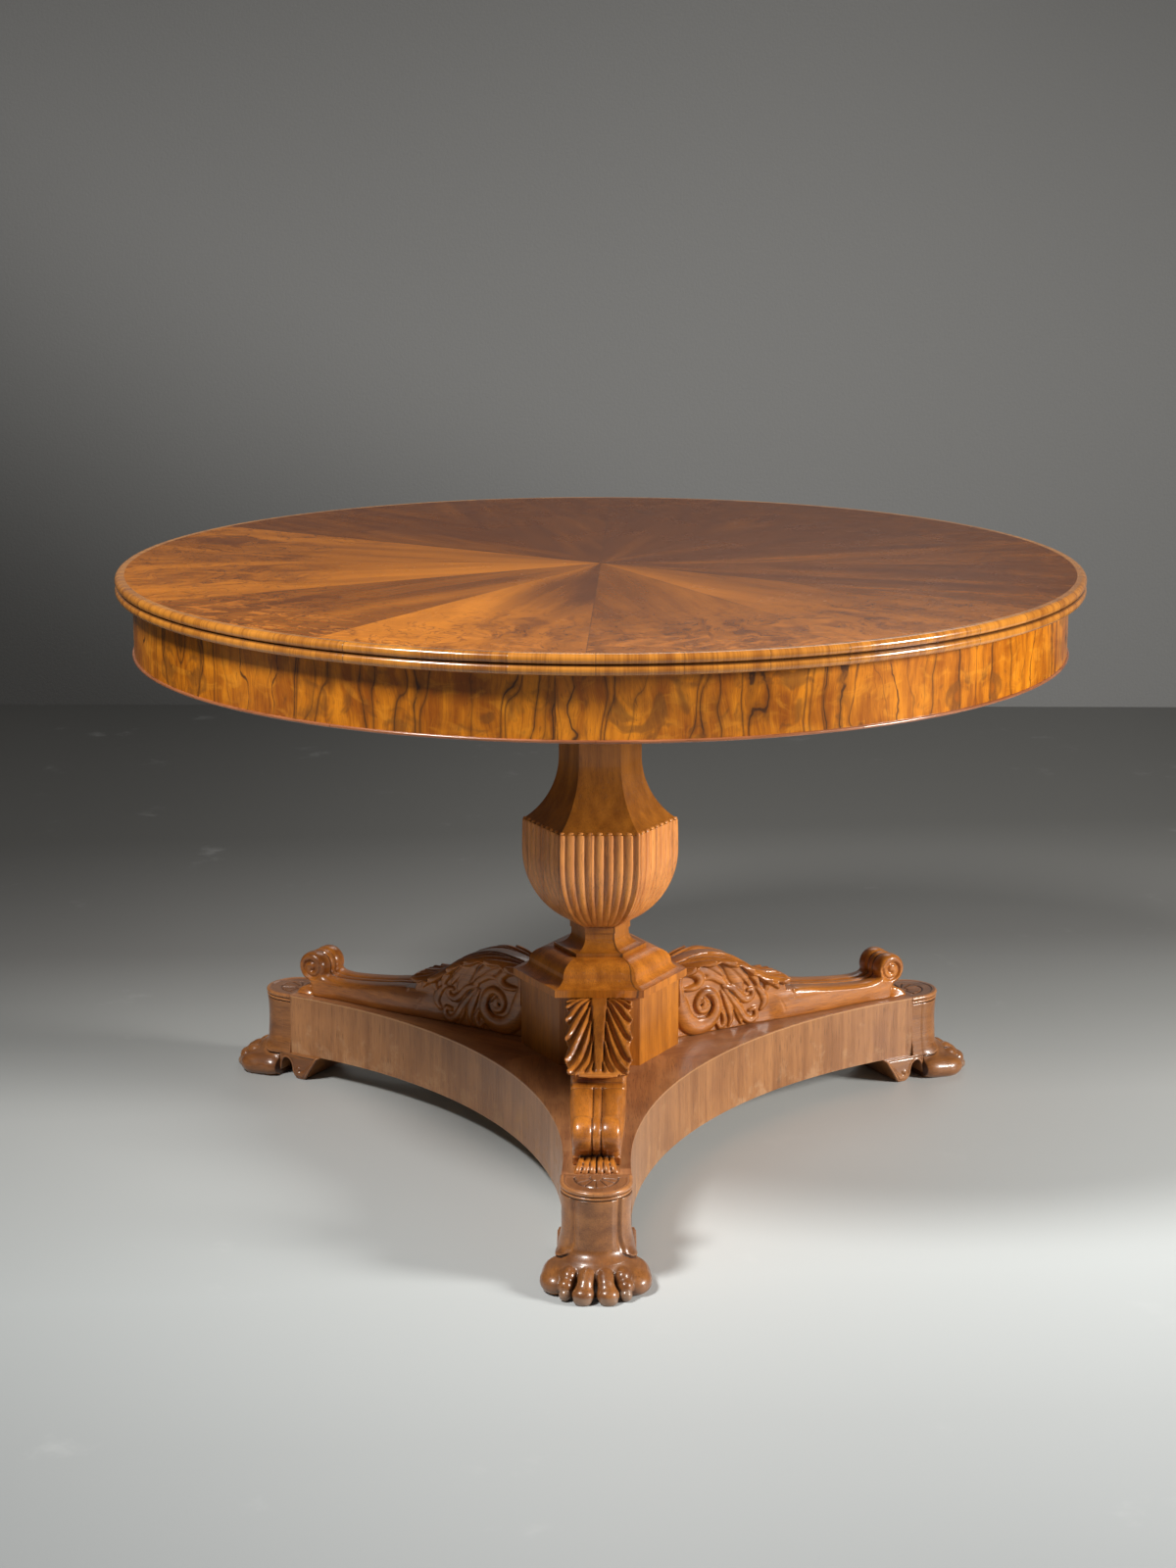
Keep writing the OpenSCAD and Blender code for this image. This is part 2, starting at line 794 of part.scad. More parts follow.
module paw_body() {
    half = paw_w/2;
    intersection() {
        linear_extrude(paw_h) polygon(both_sides(concat(
            [[0, -end_centre]],
            bezier([half*0.7, -end_centre], [half, -end_centre],
                [half, -end_reach], [half*0.75, -claw_reach + claw_out*0.55], 12),
            [[0, -claw_reach + claw_out*0.4]]
        )));
        along_arm(2*paw_w) polygon(concat(
            [[arm_reach, 0], [claw_reach, 0]],
            bezier([claw_reach - claw_out/4, paw_h/3], [claw_reach - claw_out*0.38, paw_h*0.83],
                [end_reach + claw_out/4, paw_h], [end_reach, paw_h], 10),
            [[arm_reach, paw_h]]
        ));
    }
}

module paw_foot(k) {
    lobe_x = paw_w/2 - lobe_r;
    color(carved)
        rotate(arm_step*k)
            difference() {
                union() {
                    paw_body();
                    intersection() {
                        union() {
                            for (side = [-1, 1]) {
                                translate([side*lobe_x, -end_reach, lobe_r - 1]) sphere(lobe_r);
                                toe(side*toe_pitch/2, claw_reach, 1);
                                toe(side*outer_toe_pitch/2, claw_reach - claw_out/5, 0.8);
                            }
                        }
                        translate([-paw_w, -2*claw_reach, 0]) cube([2*paw_w, 2*claw_reach, paw_h]);
                    }
                }
                foot_screw_places() screw_way(foot_pocket, foot_screw_l);
            }
}

module foot_screws() {
    color(iron) for (k = [0:2]) rotate(arm_step*k) foot_screw_places() wood_screw(foot_screw_l);
}

module heel_scroll(k) {
    start = end_centre - heel_l;
    sole = start + heel_l*0.34;
    color(carved)
        rotate(arm_step*k)
            along_arm(heel_w) polygon(concat(
                bezier([start, paw_h], [start + heel_l/10, paw_h*0.5],
                    [sole - heel_l/10, paw_h*0.3], [sole, 0], 8),
                [[sole + heel_l*0.24, 0]],
                bezier([sole + heel_l*0.27, paw_h*0.1], [sole + heel_l*0.24, paw_h*0.75],
                    [end_centre - heel_l/8, paw_h*0.8], [end_centre, paw_h*0.25], 10),
                [[end_centre, paw_h]]
            ));
}

// Scroll brackets

// The bracket from the side: leaf up to the crest, strap, and the neck of the roll
module bracket_side() {
    crest = [block_flat + crest_out, plinth_top + crest_h];
    lip = [leaf_reach - leaf_lip_r, plinth_top + strap_h + 2.6*leaf_lip_r];
    dip = [(leaf_reach + roll_reach)/2, plinth_top + strap_h];
    roll = [roll_reach, plinth_top + roll_h];
    heel = [roll_reach - roll_r*0.3, plinth_top];
    slope = lip - crest;
    polygon(concat(
        [[block_flat, plinth_top]],
        bezier(heel, heel + [roll_r/2, 0], roll + [roll_r, -roll_r], roll + [roll_r, 0], 8),
        [roll],
        bezier(roll - [roll_r, 0], roll - [roll_r*1.6, roll_r/3], dip + [roll_r*1.4, 0], dip, 6),
        bezier(dip, dip - [roll_r, 0], [leaf_reach, dip.y], [leaf_reach, dip.y + leaf_lip_r], 6),
        bezier(lip, lip - [slope.x*0.34, slope.y*0.18], crest + [slope.x*0.32, slope.y*0.1], crest, 12),
        bezier(crest, crest - [crest_out*0.4, 0], crest - [crest_out*0.6, 0],
            [block_flat, crest.y - crest_h/10], 6)
    ));
}

module bracket_plan() {
    tip = roll_reach + roll_r;
    polygon([
        [-bracket_w/2, -block_flat], [-bracket_w/2, -block_flat - 2*spiral_r],
        [-roll_w/2, -roll_reach], [-roll_w/2, -tip], [roll_w/2, -tip], [roll_w/2, -roll_reach],
        [bracket_w/2, -block_flat - 2*spiral_r], [bracket_w/2, -block_flat]
    ]);
}

module across(centre, r, width) {
    translate([0, -centre.x, centre.y]) rotate([0, 90, 0]) cylinder(r = r, h = width, center = true);
}

// The small fluted shell that fills the corner between roll and plinth
module shell_toe() {
    pitch = roll_w*0.86/shell_lobes;
    shell_h = roll_h - roll_r*0.8;
    intersection() {
        union() {
            for (i = [0:shell_lobes - 1])
                translate([(i + 0.5 - shell_lobes/2)*pitch, -roll_reach, plinth_top]) intersection() {
                    rotate([90, 0, 0]) cylinder(r = pitch*0.56, h = roll_inset);
                    rotate([0, 90, 0]) cylinder(r = roll_inset, h = 2*pitch, center = true);
                }
            translate([0, -roll_reach + shell_h*0.15, plinth_top]) rotate([0, 90, 0])
                cylinder(r = shell_h, h = shell_lobes*pitch, center = true);
        }
        translate([-roll_w, -arm_reach, plinth_top]) cube([2*roll_w, roll_inset, shell_h]);
    }
}

module scroll_bracket(k) {
    color(carved)
        rotate(arm_step*k)
            difference() {
                union() {
                    intersection() {
                        along_arm(2*bracket_w) bracket_side();
                        translate([0, 0, plinth_top]) linear_extrude(block_h + plinth_h) bracket_plan();
                    }
                    across([roll_reach, plinth_top + roll_h], roll_r, roll_w + 2*spiral_out);
                    across([spiral_reach, plinth_top + spiral_r], spiral_r, bracket_w + 2*spiral_out);
                    across([leaf_reach - leaf_lip_r, plinth_top + strap_h + 1.6*leaf_lip_r],
                        leaf_lip_r, roll_w*0.88);
                    shell_toe();
                }
                bracket_screw_places() screw_way(0, bracket_screw_l);
            }
}

module bracket_screws() {
    color(iron) for (k = [0:2]) rotate(arm_step*k) bracket_screw_places() wood_screw(bracket_screw_l);
}

top_core_boards();
for (i = [0:wedge_count - 1]) top_veneer(i);
edge_moulding();
frieze_course(1);  // frieze_course_upper
frieze_course(0);  // frieze_course_lower
frieze_veneer();
frieze_rim_bead();
bearer_long();
bearer_cross();
glue_blocks();
bearer_screws();
column_head_block();
head_screws();
column_neck();
reeded_urn();
column_waist();
ogee_cap();
block_core();
block_faces();
tie_rod();
tie_rod_nuts();
tie_rod_washers();
plinth_top_veneer();
end_dowels();
foot_screws();
bracket_screws();
for (k = [0:2]) {
    plinth_arm(k);
    plinth_side(k);
    end_block(k);
    end_cap(k);
    paw_foot(k);
    heel_scroll(k);
    scroll_bracket(k);
}
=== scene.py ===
import math

import bmesh
import bpy
import numpy as np
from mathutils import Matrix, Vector


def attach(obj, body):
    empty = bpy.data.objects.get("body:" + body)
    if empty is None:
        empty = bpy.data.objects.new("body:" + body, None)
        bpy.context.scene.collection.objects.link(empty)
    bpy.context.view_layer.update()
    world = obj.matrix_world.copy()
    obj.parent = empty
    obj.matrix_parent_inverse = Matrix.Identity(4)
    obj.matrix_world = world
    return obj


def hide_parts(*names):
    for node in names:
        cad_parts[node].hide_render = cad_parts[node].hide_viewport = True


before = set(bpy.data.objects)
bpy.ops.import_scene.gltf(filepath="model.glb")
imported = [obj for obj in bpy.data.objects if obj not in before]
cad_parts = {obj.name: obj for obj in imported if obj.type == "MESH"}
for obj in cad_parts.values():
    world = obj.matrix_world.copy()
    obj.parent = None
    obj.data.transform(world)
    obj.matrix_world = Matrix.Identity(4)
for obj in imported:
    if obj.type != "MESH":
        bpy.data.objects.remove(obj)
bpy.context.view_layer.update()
scene = bpy.context.scene

# ---- Studio ----
# The table stands on a pale painted floor in front of a grey wall that is open from behind. The
# light is soft: a broad lamp low on the right, one high on the left, a weak one at the back, and a
# pale room all round. The colours of floor and wall hold painted light and shade.

def operator(operation, reflected=False):
    """An operator of Term, which adds one Math node. Reflected, what stands on its left is no Term."""
    def act(term, other):
        return term.tree.function(operation, *((other, term) if reflected else (term, other)))
    return act


class Term:
    """A number on its way through a node tree."""

    def __init__(self, tree, socket):
        self.tree = tree
        self.socket = socket

    def __neg__(self):
        return self*-1.0

    __add__ = operator("ADD")
    __radd__ = operator("ADD", reflected=True)
    __sub__ = operator("SUBTRACT")
    __rsub__ = operator("SUBTRACT", reflected=True)
    __mul__ = operator("MULTIPLY")
    __rmul__ = operator("MULTIPLY", reflected=True)
    __truediv__ = operator("DIVIDE")


class Tree:
    """A node tree, and the one way that nodes get into it."""

    def __init__(self, group):
        self.group = group

    def feed(self, socket, value):
        if isinstance(value, Term):
            self.group.links.new(value.socket, socket)
        else:
            socket.default_value = value

    def add(self, kind, settings=None, inputs=None, out=0):
        node = self.group.nodes.new(kind)
        for name, value in (settings or {}).items():
            if name == "stops":
                ramp = node.color_ramp
                while len(ramp.elements) < len(value):
                    ramp.elements.new(0.5)
                for element, (position, colour) in zip(ramp.elements, value):
                    element.position = position
                    element.color = (*colour, 1.0)
            else:
                setattr(node, name, value)
        for name, value in (inputs or {}).items():
            self.feed(node.inputs[name], value)
        return Term(self, node.outputs[out]) if len(node.outputs) else node

    def function(self, operation, *values):
        return self.add("ShaderNodeMath", {"operation": operation}, dict(enumerate(values)))

    def limit(self, value, low=0.0, high=1.0):
        return self.function("MINIMUM", self.function("MAXIMUM", value, low), high)

    def vector(self, x, y, z):
        return self.add("ShaderNodeCombineXYZ", None, {0: x, 1: y, 2: z})

    def parts(self, vector):
        node = self.group.nodes.new("ShaderNodeSeparateXYZ")
        self.feed(node.inputs[0], vector)
        return [Term(self, output) for output in node.outputs]

    def step(self, value, low, high, start=0.0, end=1.0):
        return self.add(
            "ShaderNodeMapRange", {"interpolation_type": "SMOOTHSTEP"},
            {0: value, 1: low, 2: high, 3: start, 4: end})


class Finish(Tree):
    """A material, made of the nodes of its finish."""

    def __init__(self, name):
        self.material = bpy.data.materials.new(name)
        self.material.use_nodes = True
        super().__init__(self.material.node_tree)
        self.group.nodes.clear()

    def place(self):
        return self.add("ShaderNodeTexCoord", None, None, 3)

    def noise(self, vector, scale, detail=3.0, rough=0.5, twist=0.0):
        return self.add(
            "ShaderNodeTexNoise", {"noise_dimensions": "3D"},
            {"Vector": vector, "Scale": scale, "Detail": detail, "Roughness": rough, "Distortion": twist})

    def mix(self, share, first, second, blend="MIX"):
        first, second = [
            (*c, 1.0) if isinstance(c, tuple) and len(c) == 3 else c for c in (first, second)]
        return self.add(
            "ShaderNodeMix", {"data_type": "RGBA", "blend_type": blend}, {0: share, 6: first, 7: second}, 2)

    def ramp(self, value, *stops):
        return self.add("ShaderNodeValToRGB", {"stops": stops}, {0: value})

    def bump(self, height, depth):
        return self.add("ShaderNodeBump", None, {"Strength": 1.0, "Distance": depth, "Height": height})

    def surface(self, colour, rough, height, depth=0.00008, coat=None, **constants):
        """Height cuts depth metres deep. Coat gives the weight and the roughness of the polish."""
        sockets = {"Base Color": colour, "Roughness": rough, **constants}
        if coat:
            sockets["Coat Weight"], sockets["Coat Roughness"] = coat
        sockets["Normal"] = self.bump(height, depth)
        shader = self.add("ShaderNodeBsdfPrincipled", None, sockets)
        self.add("ShaderNodeOutputMaterial", None, {0: shader})
        return self.material


def stand(name, data):
    """Stands a mesh, a lamp or the camera in the scene."""
    thing = bpy.data.objects.new(name, data)
    scene.collection.objects.link(thing)
    return thing


def piece_of(name, points, faces):
    mesh = bpy.data.meshes.new(name)
    mesh.from_pydata([tuple(p) for p in points], [], [tuple(f) for f in faces])
    mesh.update()
    mesh.polygons.foreach_set("use_smooth", [True]*len(mesh.polygons))
    return stand(name, mesh)


side_x, front_y, wall_y, wall_top = 14.0, -14.0, 2.70, 8.0
foot_of_wall = [(side_x, wall_y, 0), (-side_x, wall_y, 0)]
floor = piece_of(
    "studio_floor", [(-side_x, front_y, 0), (side_x, front_y, 0), *foot_of_wall], [(0, 1, 2, 3)])
head_of_wall = [(side_x, wall_y, wall_top), (-side_x, wall_y, wall_top)]
wall = piece_of("studio_wall", [*foot_of_wall[::-1], *head_of_wall], [(0, 1, 2, 3)])

paint = Finish("floor_paint")
x, y, _ = paint.parts(paint.place())
haze = paint.noise(paint.place(), 1.1, 2.0)
scuffs = paint.step(paint.noise(paint.place(), 6.0, 5.0, 0.65), 0.62, 0.75)
# The floor's colour is painted light in front of the table and darker towards the back, on the left and far
# out on the right, as painted falloff of the lamps' light and painted shade.
far = (y - 0.10*x - 0.10*haze + 1.35)/2.90
floor_with_painted_shade = paint.ramp(
    far, (0.0, (0.34, 0.36, 0.37)), (0.14, (0.42, 0.445, 0.455)), (0.27, (0.53, 0.565, 0.575)),
    (0.48, (0.53, 0.55, 0.55)), (0.60, (0.36, 0.37, 0.365)), (0.74, (0.20, 0.20, 0.195)),
    (1.0, (0.105, 0.105, 0.10)))
painted_floor_shade = paint.step(x, -1.1, 0.15, 0.42, 0.0) + paint.step(x, 1.0, 2.4, 0.0, 0.85)
floor_with_painted_shade = paint.mix(painted_floor_shade, floor_with_painted_shade, (0.0, 0.0, 0.0))
floor.data.materials.append(
    paint.surface(paint.mix(0.08*scuffs, floor_with_painted_shade, (0.75, 0.76, 0.76)), 0.42 + 0.2*haze, haze, 0.0005))

paint = Finish("wall_paint")
x, _, z = paint.parts(paint.place())
haze = paint.noise(paint.place(), 0.9, 3.0)
# The wall's grey is painted light and shade: a painted shadow low on the left, and painted light that fades
# towards the top and the far right.
painted_fade_upwards = paint.step(z, 0.6, 2.3, 1.0, 0.25)
painted_wall_light = paint.step(0.45*x + 0.80*z + 0.1*haze, -0.5, 0.55)*painted_fade_upwards*paint.step(x, 0.1, 1.6, 1.0, 0.75)
grain = paint.noise(paint.place(), 160.0, 2.0)
grey = paint.mix(painted_wall_light, (0.037, 0.037, 0.036), (0.176, 0.178, 0.177))
rolled = paint.bump(grain, 0.0006)
front = paint.add("ShaderNodeBsdfPrincipled", None, {"Base Color": grey, "Roughness": 0.8, "Normal": rolled})
behind = paint.add("ShaderNodeNewGeometry", None, None, "Backfacing")
open_back = paint.add("ShaderNodeBsdfTransparent")
either = paint.add("ShaderNodeMixShader", None, {0: behind, 1: front, 2: open_back})
paint.add("ShaderNodeOutputMaterial", None, {0: either})
wall.data.materials.append(paint.material)


def lamp(name, place, aim, size, watts, colour, glint=1.0):
    light = bpy.data.lights.new(name, "AREA")
    light.shape = "DISK"
    light.size = size
    light.energy = watts
    light.color = colour
    light.specular_factor = glint
    thing = stand(name, light)
    thing.location = place
    thing.rotation_euler = (Vector(aim) - Vector(place)).to_track_quat("-Z", "Y").to_euler()


lamp("right_lamp", (3.35, -1.25, 1.60), (0.0, 0.0, 0.4), 1.0, 185.0, (1.0, 0.97, 0.92))
lamp("left_lamp", (-1.64, -1.64, 3.20), (0.0, 0.0, 0.6), 0.8, 140.0, (1.0, 0.97, 0.93))
lamp("back_lamp", (0.4, 2.4, 2.2), (0.0, 0.0, 0.6), 1.4, 8.0, (1.0, 0.98, 0.95), 0.0)

world = bpy.data.worlds.new("pale_room")
world.use_nodes = True
room = Tree(world.node_tree)
room.group.nodes.clear()
shade = room.add("ShaderNodeBackground", None, {"Color": (0.93, 0.96, 1.0, 1.0), "Strength": 0.08})
room.add("ShaderNodeOutputWorld", None, {0: shade})
scene.world = world
scene.view_settings.view_transform = "Standard"

camera = bpy.data.cameras.new("camera")
camera.lens = 66.8
camera.sensor_width = 36.0
camera.clip_end = 60.0
viewer = stand("camera", camera)
look_down = 13.56
viewer.location = (0.0296, -3.6586, 1.3537)
viewer.rotation_euler = (math.radians(90.0 - look_down), 0.0, 0.0124)
scene.camera = viewer


# ---- Top ----
# Twelve leaves of figured walnut veneer, each 1.2 mm thick, are laid as wedges that meet at the
# centre, every second one turned over so that the figure mirrors at each joint. French polished.

wedge_turn = -1.0
wedge_angle = 30.0
# Each wedge's tone, from one joint across to the other, is partly the veneer's own and partly painted shade:
# the wedges at the back and on the right are painted darker, where less light falls on the top.
wedge_tones_and_shade = [
    (0.66, 0.56), (0.50, 0.70), (0.76, 0.86), (0.74, 0.84), (0.86, 0.86), (0.84, 0.88),
    (0.88, 0.84), (0.84, 0.80), (0.54, 0.62), (0.48, 0.40), (0.70, 0.58), (0.08, 0.58)]
wedge_heart = {0: 0.15, 11: 0.55}
wedge_ripple = {0: 0.8, 10: 1.0, 11: 0.6}
top_light = (0.60, 0.215, 0.018)
top_dark = (0.090, 0.028, 0.007)
top_ink = (0.060, 0.022, 0.010)
glue_line = 0.0009


def scaled(wood, vector, factors):
    return wood.add("ShaderNodeVectorMath", {"operation": "MULTIPLY"}, {0: vector, 1: factors})


def moved(wood, vector, offset):
    return wood.add("ShaderNodeVectorMath", {"operation": "ADD"}, {0: vector, 1: offset})


def fibrous(wood, vector, stretch, scale, detail=3.0, rough=0.5, twist=0.0):
    """Noise drawn out along the third part of its place, as fibres and rings are in a board."""
    return wood.noise(scaled(wood, vector, (1.0, 1.0, stretch)), scale, detail, rough, twist)


def reach_along(wood, vector, direction):
    return wood.add("ShaderNodeVectorMath", {"operation": "DOT_PRODUCT"}, {0: vector, 1: direction}, 1)


def ridge(wood, value, level, width):
    """1 where a value passes through a level, and 0 further off than the width."""
    return 1.0 - wood.step(wood.function("ABSOLUTE", value - level), 0.0, width)


def timber(wood, spot, dark, light, rings=60.0, stretch=0.05, wander=0.02, pore=0.5):
    """Polished walnut. The third part of spot runs along the grain. Gives colour and surface height."""
    drift = fibrous(wood, spot, 0.4, 7.0, 2.0) - 0.5
    bent = moved(wood, spot, wood.vector(drift*wander, drift*wander, 0.0))
    streaks = fibrous(wood, bent, stretch, rings, 5.0, 0.62)
    fibres = fibrous(wood, bent, 0.03, 620.0, 2.0, 0.6)
    pores = wood.step(fibrous(wood, bent, 0.05, 1000.0, 1.0), 0.60, 0.70)
    clouds = wood.noise(spot, 9.0, 3.0, 0.55)
    tone = wood.step(0.56*streaks + 0.18*fibres + 0.30*clouds, 0.38, 0.66)
    colour = wood.mix(tone, dark, light)
    shade = tuple(0.35*c for c in dark)
    return wood.mix(pore*pores, colour, shade), 0.6*fibres - pores


def dress(finish, *nodes):
    """Gives plain pieces of the frame their finish."""
    for node in nodes:
        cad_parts[node].data.materials[0] = finish


def top_finish(i):
    wood = Finish(f"top_walnut_{i + 1}")
    middle = math.radians(wedge_turn + (i + 0.5)*wedge_angle)
    wedge = math.radians(wedge_angle)
    spot = wood.place()
    along = reach_along(wood, spot, (math.sin(middle), -math.cos(middle), 0.0))
    across = reach_along(wood, spot, (math.cos(middle), math.sin(middle), 0.0))
    side = wood.function("ARCTAN2", across, along)/wedge + 0.5
    mirrored = across if i % 2 else -across
    leaf = wood.vector(mirrored + 0.31*(i // 2), 0.17*(i // 3), along)
    rim = wood.step(along + 0.25*wood.noise(leaf, 5.0, 2.0), 0.36, 0.60)
    swirl = wood.noise(leaf, 8.0, 3.0, 0.55, 1.1)
    curl = wood.vector((swirl - 0.5)*0.16*rim, 0.0, (swirl - 0.5)*0.10*rim)
    bent = moved(wood, leaf, curl)
    # The tone carries the wedge's painted shade as well as its own colour.
    start, end = wedge_tones_and_shade[i]
    tone = 1.45*(start + (end - start)*wood.step(side, 0.0, 1.0)) - 0.20
    streak = fibrous(wood, leaf, 0.10, 24.0, 3.0, 0.55)
    heart = wood.step(along + 0.06*swirl, 0.16, 0.46, 1.0, 0.0)
    tone = tone + 0.9*(streak - 0.52) + wedge_heart.get(i, 0.0)*heart
    tone = wood.limit(tone)
    plain, height = timber(wood, bent, top_dark, top_light, 46.0, 0.07, 0.03)
    shaded = wood.mix(tone, top_light, top_dark)
    colour = wood.mix(0.70 + 0.18*tone, plain, shaded)
    flame = fibrous(wood, bent, 0.30, 26.0, 4.0, 0.6, 0.6)
    burl = wood.step(flame, 0.50, 0.66)*rim
    colour = wood.mix(0.62*burl, colour, (0.085, 0.026, 0.009))
    fire = wood.noise(scaled(wood, bent, (0.7, 1.0, 1.0)), 34.0, 3.0, 0.6, 1.4)
    fire = wood.step(fire, 0.50, 0.62)*wood.step(along, 0.40, 0.57)
    colour = wood.mix(0.55*wedge_ripple.get(i, 0.12)*fire, colour, (0.74, 0.27, 0.035))
    colour = wood.mix(0.42*tone*tone, colour, top_dark)
    lines = ridge(wood, wood.noise(bent, 17.0, 3.0, 0.55, 1.6), 0.52, 0.022)*rim
    specks = wood.step(wood.noise(bent, 120.0, 2.0, 0.7), 0.66, 0.74)*rim
    colour = wood.mix(0.55*lines + 0.5*specks, colour, top_ink)
    ripple = wood.function("SINE", along*520.0 + 9.0*wood.noise(bent, 9.0, 2.0))
    sheen = 0.5 + 0.5*ripple*wedge_ripple.get(i, 0.16)
    colour = wood.mix(0.30*sheen, colour, tuple(1.25*c for c in top_light), "SOFT_LIGHT")
    edge = wood.function("ABSOLUTE", side - 0.5)*wedge*along
    joint = wood.step(edge - (0.5*wedge*along - glue_line), 0.0, 0.0008)
    colour = wood.mix(0.55*joint, colour, top_ink)
    worn = wood.noise(spot, 14.0, 4.0, 0.6)
    gloss = {"IOR": 1.33, "Specular IOR Level": 0.14}
    return wood.surface(colour, 0.20 + 0.12*worn, height, 0.00006, **gloss)


for i in range(len(wedge_tones_and_shade)):
    dress(top_finish(i), f"top_veneer_{i + 1}")


# ---- Edge of the top ----
# Forty short lengths of straight walnut, laid with their grain upright, make the moulding of two
# round beads with a narrow groove between them. They are polished brighter than the top.

edge_lengths = 40.0
edge_light = (0.62, 0.240, 0.032)
edge_dark = (0.27, 0.085, 0.013)
top_r = 0.610
groove_z = 0.748


def chance_of(wood, number):
    """A tone of its own for each numbered length of wood."""
    return wood.add("ShaderNodeTexWhiteNoise", {"noise_dimensions": "1D"}, {"W": number})


def from_middle(wood, count):
    """0 in the middle of each counted length of wood, and 0.5 at its joints."""
    return wood.function("ABSOLUTE", wood.function("FRACT", count) - 0.5)


def round_the_axis(wood):
    """Angle round the table's axis from the front towards +X, as a share of a turn from 0 at the back."""
    x, y, z = wood.parts(wood.place())
    return wood.function("ARCTAN2", x, -y)/math.tau + 0.5, x, y, z


wood = Finish("edge_walnut")
turn, _, _, z = round_the_axis(wood)
length = turn*edge_lengths
number = wood.function("FLOOR", length)
chance = chance_of(wood, number)
run = turn*(math.tau*top_r)
grain = wood.vector(run + 0.37*number, 0.0, z*0.6)
fibres = fibrous(wood, grain, 0.08, 420.0, 3.0, 0.6)
bands = fibrous(wood, grain, 0.12, 70.0, 3.0, 0.6)
tone = wood.step(0.50*bands + 0.40*fibres + 0.12*chance, 0.32, 0.66)
colour = wood.mix(tone, edge_dark, edge_light)
stain = wood.step(wood.noise(wood.place(), 55.0, 4.0, 0.65), 0.60, 0.72)
colour = wood.mix(0.30*stain, colour, (0.20, 0.075, 0.02))
joint = wood.step(from_middle(wood, length), 0.494, 0.499)
colour = wood.mix(0.75*joint, colour, top_ink)
# The groove between the beads is painted dark as shade.
groove_shade = 1.0 - wood.step(wood.function("ABSOLUTE", z - groove_z), 0.0008, 0.0028)
colour = wood.mix(0.8*groove_shade, colour, top_ink)
finish = wood.surface(colour, 0.20 + 0.12*stain, fibres - joint, coat=(0.5, 0.08))
dress(finish, "edge_moulding")


# ---- Blind top ----
# Five pine boards under the veneer. Their underside shows inside the frieze ring: bare, brown with
# age, and planed by hand across the grain.

pine_pale = (0.47, 0.30, 0.145)
pine_brown = (0.24, 0.125, 0.05)


def pine_finish(name, lie):
    """Bare old pine. lie names the axes of a piece's place, with the one along the grain last."""
    wood = Finish(name)
    axes = dict(zip("xyz", wood.parts(wood.place())))
    spot = wood.vector(*[axes[letter] for letter in lie])
    drift = fibrous(wood, spot, 0.5, 4.0, 2.0) - 0.5
    bent = moved(wood, spot, wood.vector(0.05*drift, 0.0, 0.0))
    rings = fibrous(wood, bent, 0.03, 95.0, 3.0, 0.55)
    fibres = fibrous(wood, bent, 0.02, 650.0, 2.0)
    colour = wood.mix(wood.step(0.7*rings + 0.3*fibres, 0.42, 0.62), pine_pale, pine_brown)
    knots = wood.step(fibrous(wood, spot, 0.5, 12.0, 1.0), 0.74, 0.80)
    colour = wood.mix(0.7*knots, colour, (0.12, 0.05, 0.02))
    dust = wood.noise(spot, 6.0, 4.0, 0.6)
    colour = wood.mix(0.35*dust, colour, (0.20, 0.14, 0.09))
    scallops = fibrous(wood, spot, 0.35, 40.0, 1.0)
    return wood.surface(colour, 0.72 + 0.15*dust, 0.5*fibres + scallops, 0.0004)


along_x, along_y, upright = "yzx", "xzy", "xyz"
dress(pine_finish("board_pine", along_x), "top_core_boards")


# ---- Frieze ----
# The drum is brick-built from curved pine blocks in two courses. Seven book-matched panels of
# golden walnut with inky veins cover it, and a thin reddish bead finishes its lower edge.

frieze_r = 0.589
rim_lengths = 12.0
brick_r, brick_count = 0.570, 12.0
panel_count = 7
panel_turn = -4.3
cut_turn = math.radians(panel_turn + 4*360.0/panel_count - 180.0)
frieze_gold = (0.73, 0.240, 0.007)
frieze_brown = (0.30, 0.074, 0.002)
frieze_ink = (0.045, 0.015, 0.006)

wood = Finish("frieze_walnut")
flat = wood.place()
c, s = math.cos(cut_turn), math.sin(cut_turn)
across = reach_along(wood, flat, (c, s, 0.0))
front = reach_along(wood, flat, (s, -c, 0.0))
z = wood.parts(flat)[2]
panel = (wood.function("ARCTAN2", across, front)/math.tau + 0.5)*panel_count
pair = wood.function("FLOOR", (panel + 1.0)*0.5)
share = wood.function("PINGPONG", panel, 1.0)
run = share*(math.tau*frieze_r/panel_count)
leaf = wood.vector(run, pair*0.03, z)
bend = fibrous(wood, leaf, 0.55, 9.0, 3.0, 0.55, 0.4) - 0.5
jog = wood.noise(leaf, 60.0, 2.0) - 0.5
bent = wood.vector(run + 0.055*bend + 0.0035*jog, pair*0.03, z*0.22 + 0.012*bend)
bands = wood.noise(bent, 34.0, 4.0, 0.6)
fibres = fibrous(wood, bent, 0.25, 520.0, 2.0)
clouds = wood.noise(leaf, 11.0, 3.0, 0.6)
tone = wood.step(0.50*bands + 0.14*fibres + 0.36*clouds, 0.39, 0.62)
colour = wood.mix(tone, frieze_brown, frieze_gold)
fire = wood.noise(scaled(wood, leaf, (0.8, 1.0, 1.6)), 30.0, 3.0, 0.6, 0.8)
colour = wood.mix(0.32*wood.step(fire, 0.52, 0.66), colour, (0.78, 0.30, 0.020))
patch = wood.step(wood.noise(wood.vector(run, pair*0.03, z*0.15), 8.0, 2.0), 0.36, 0.52)


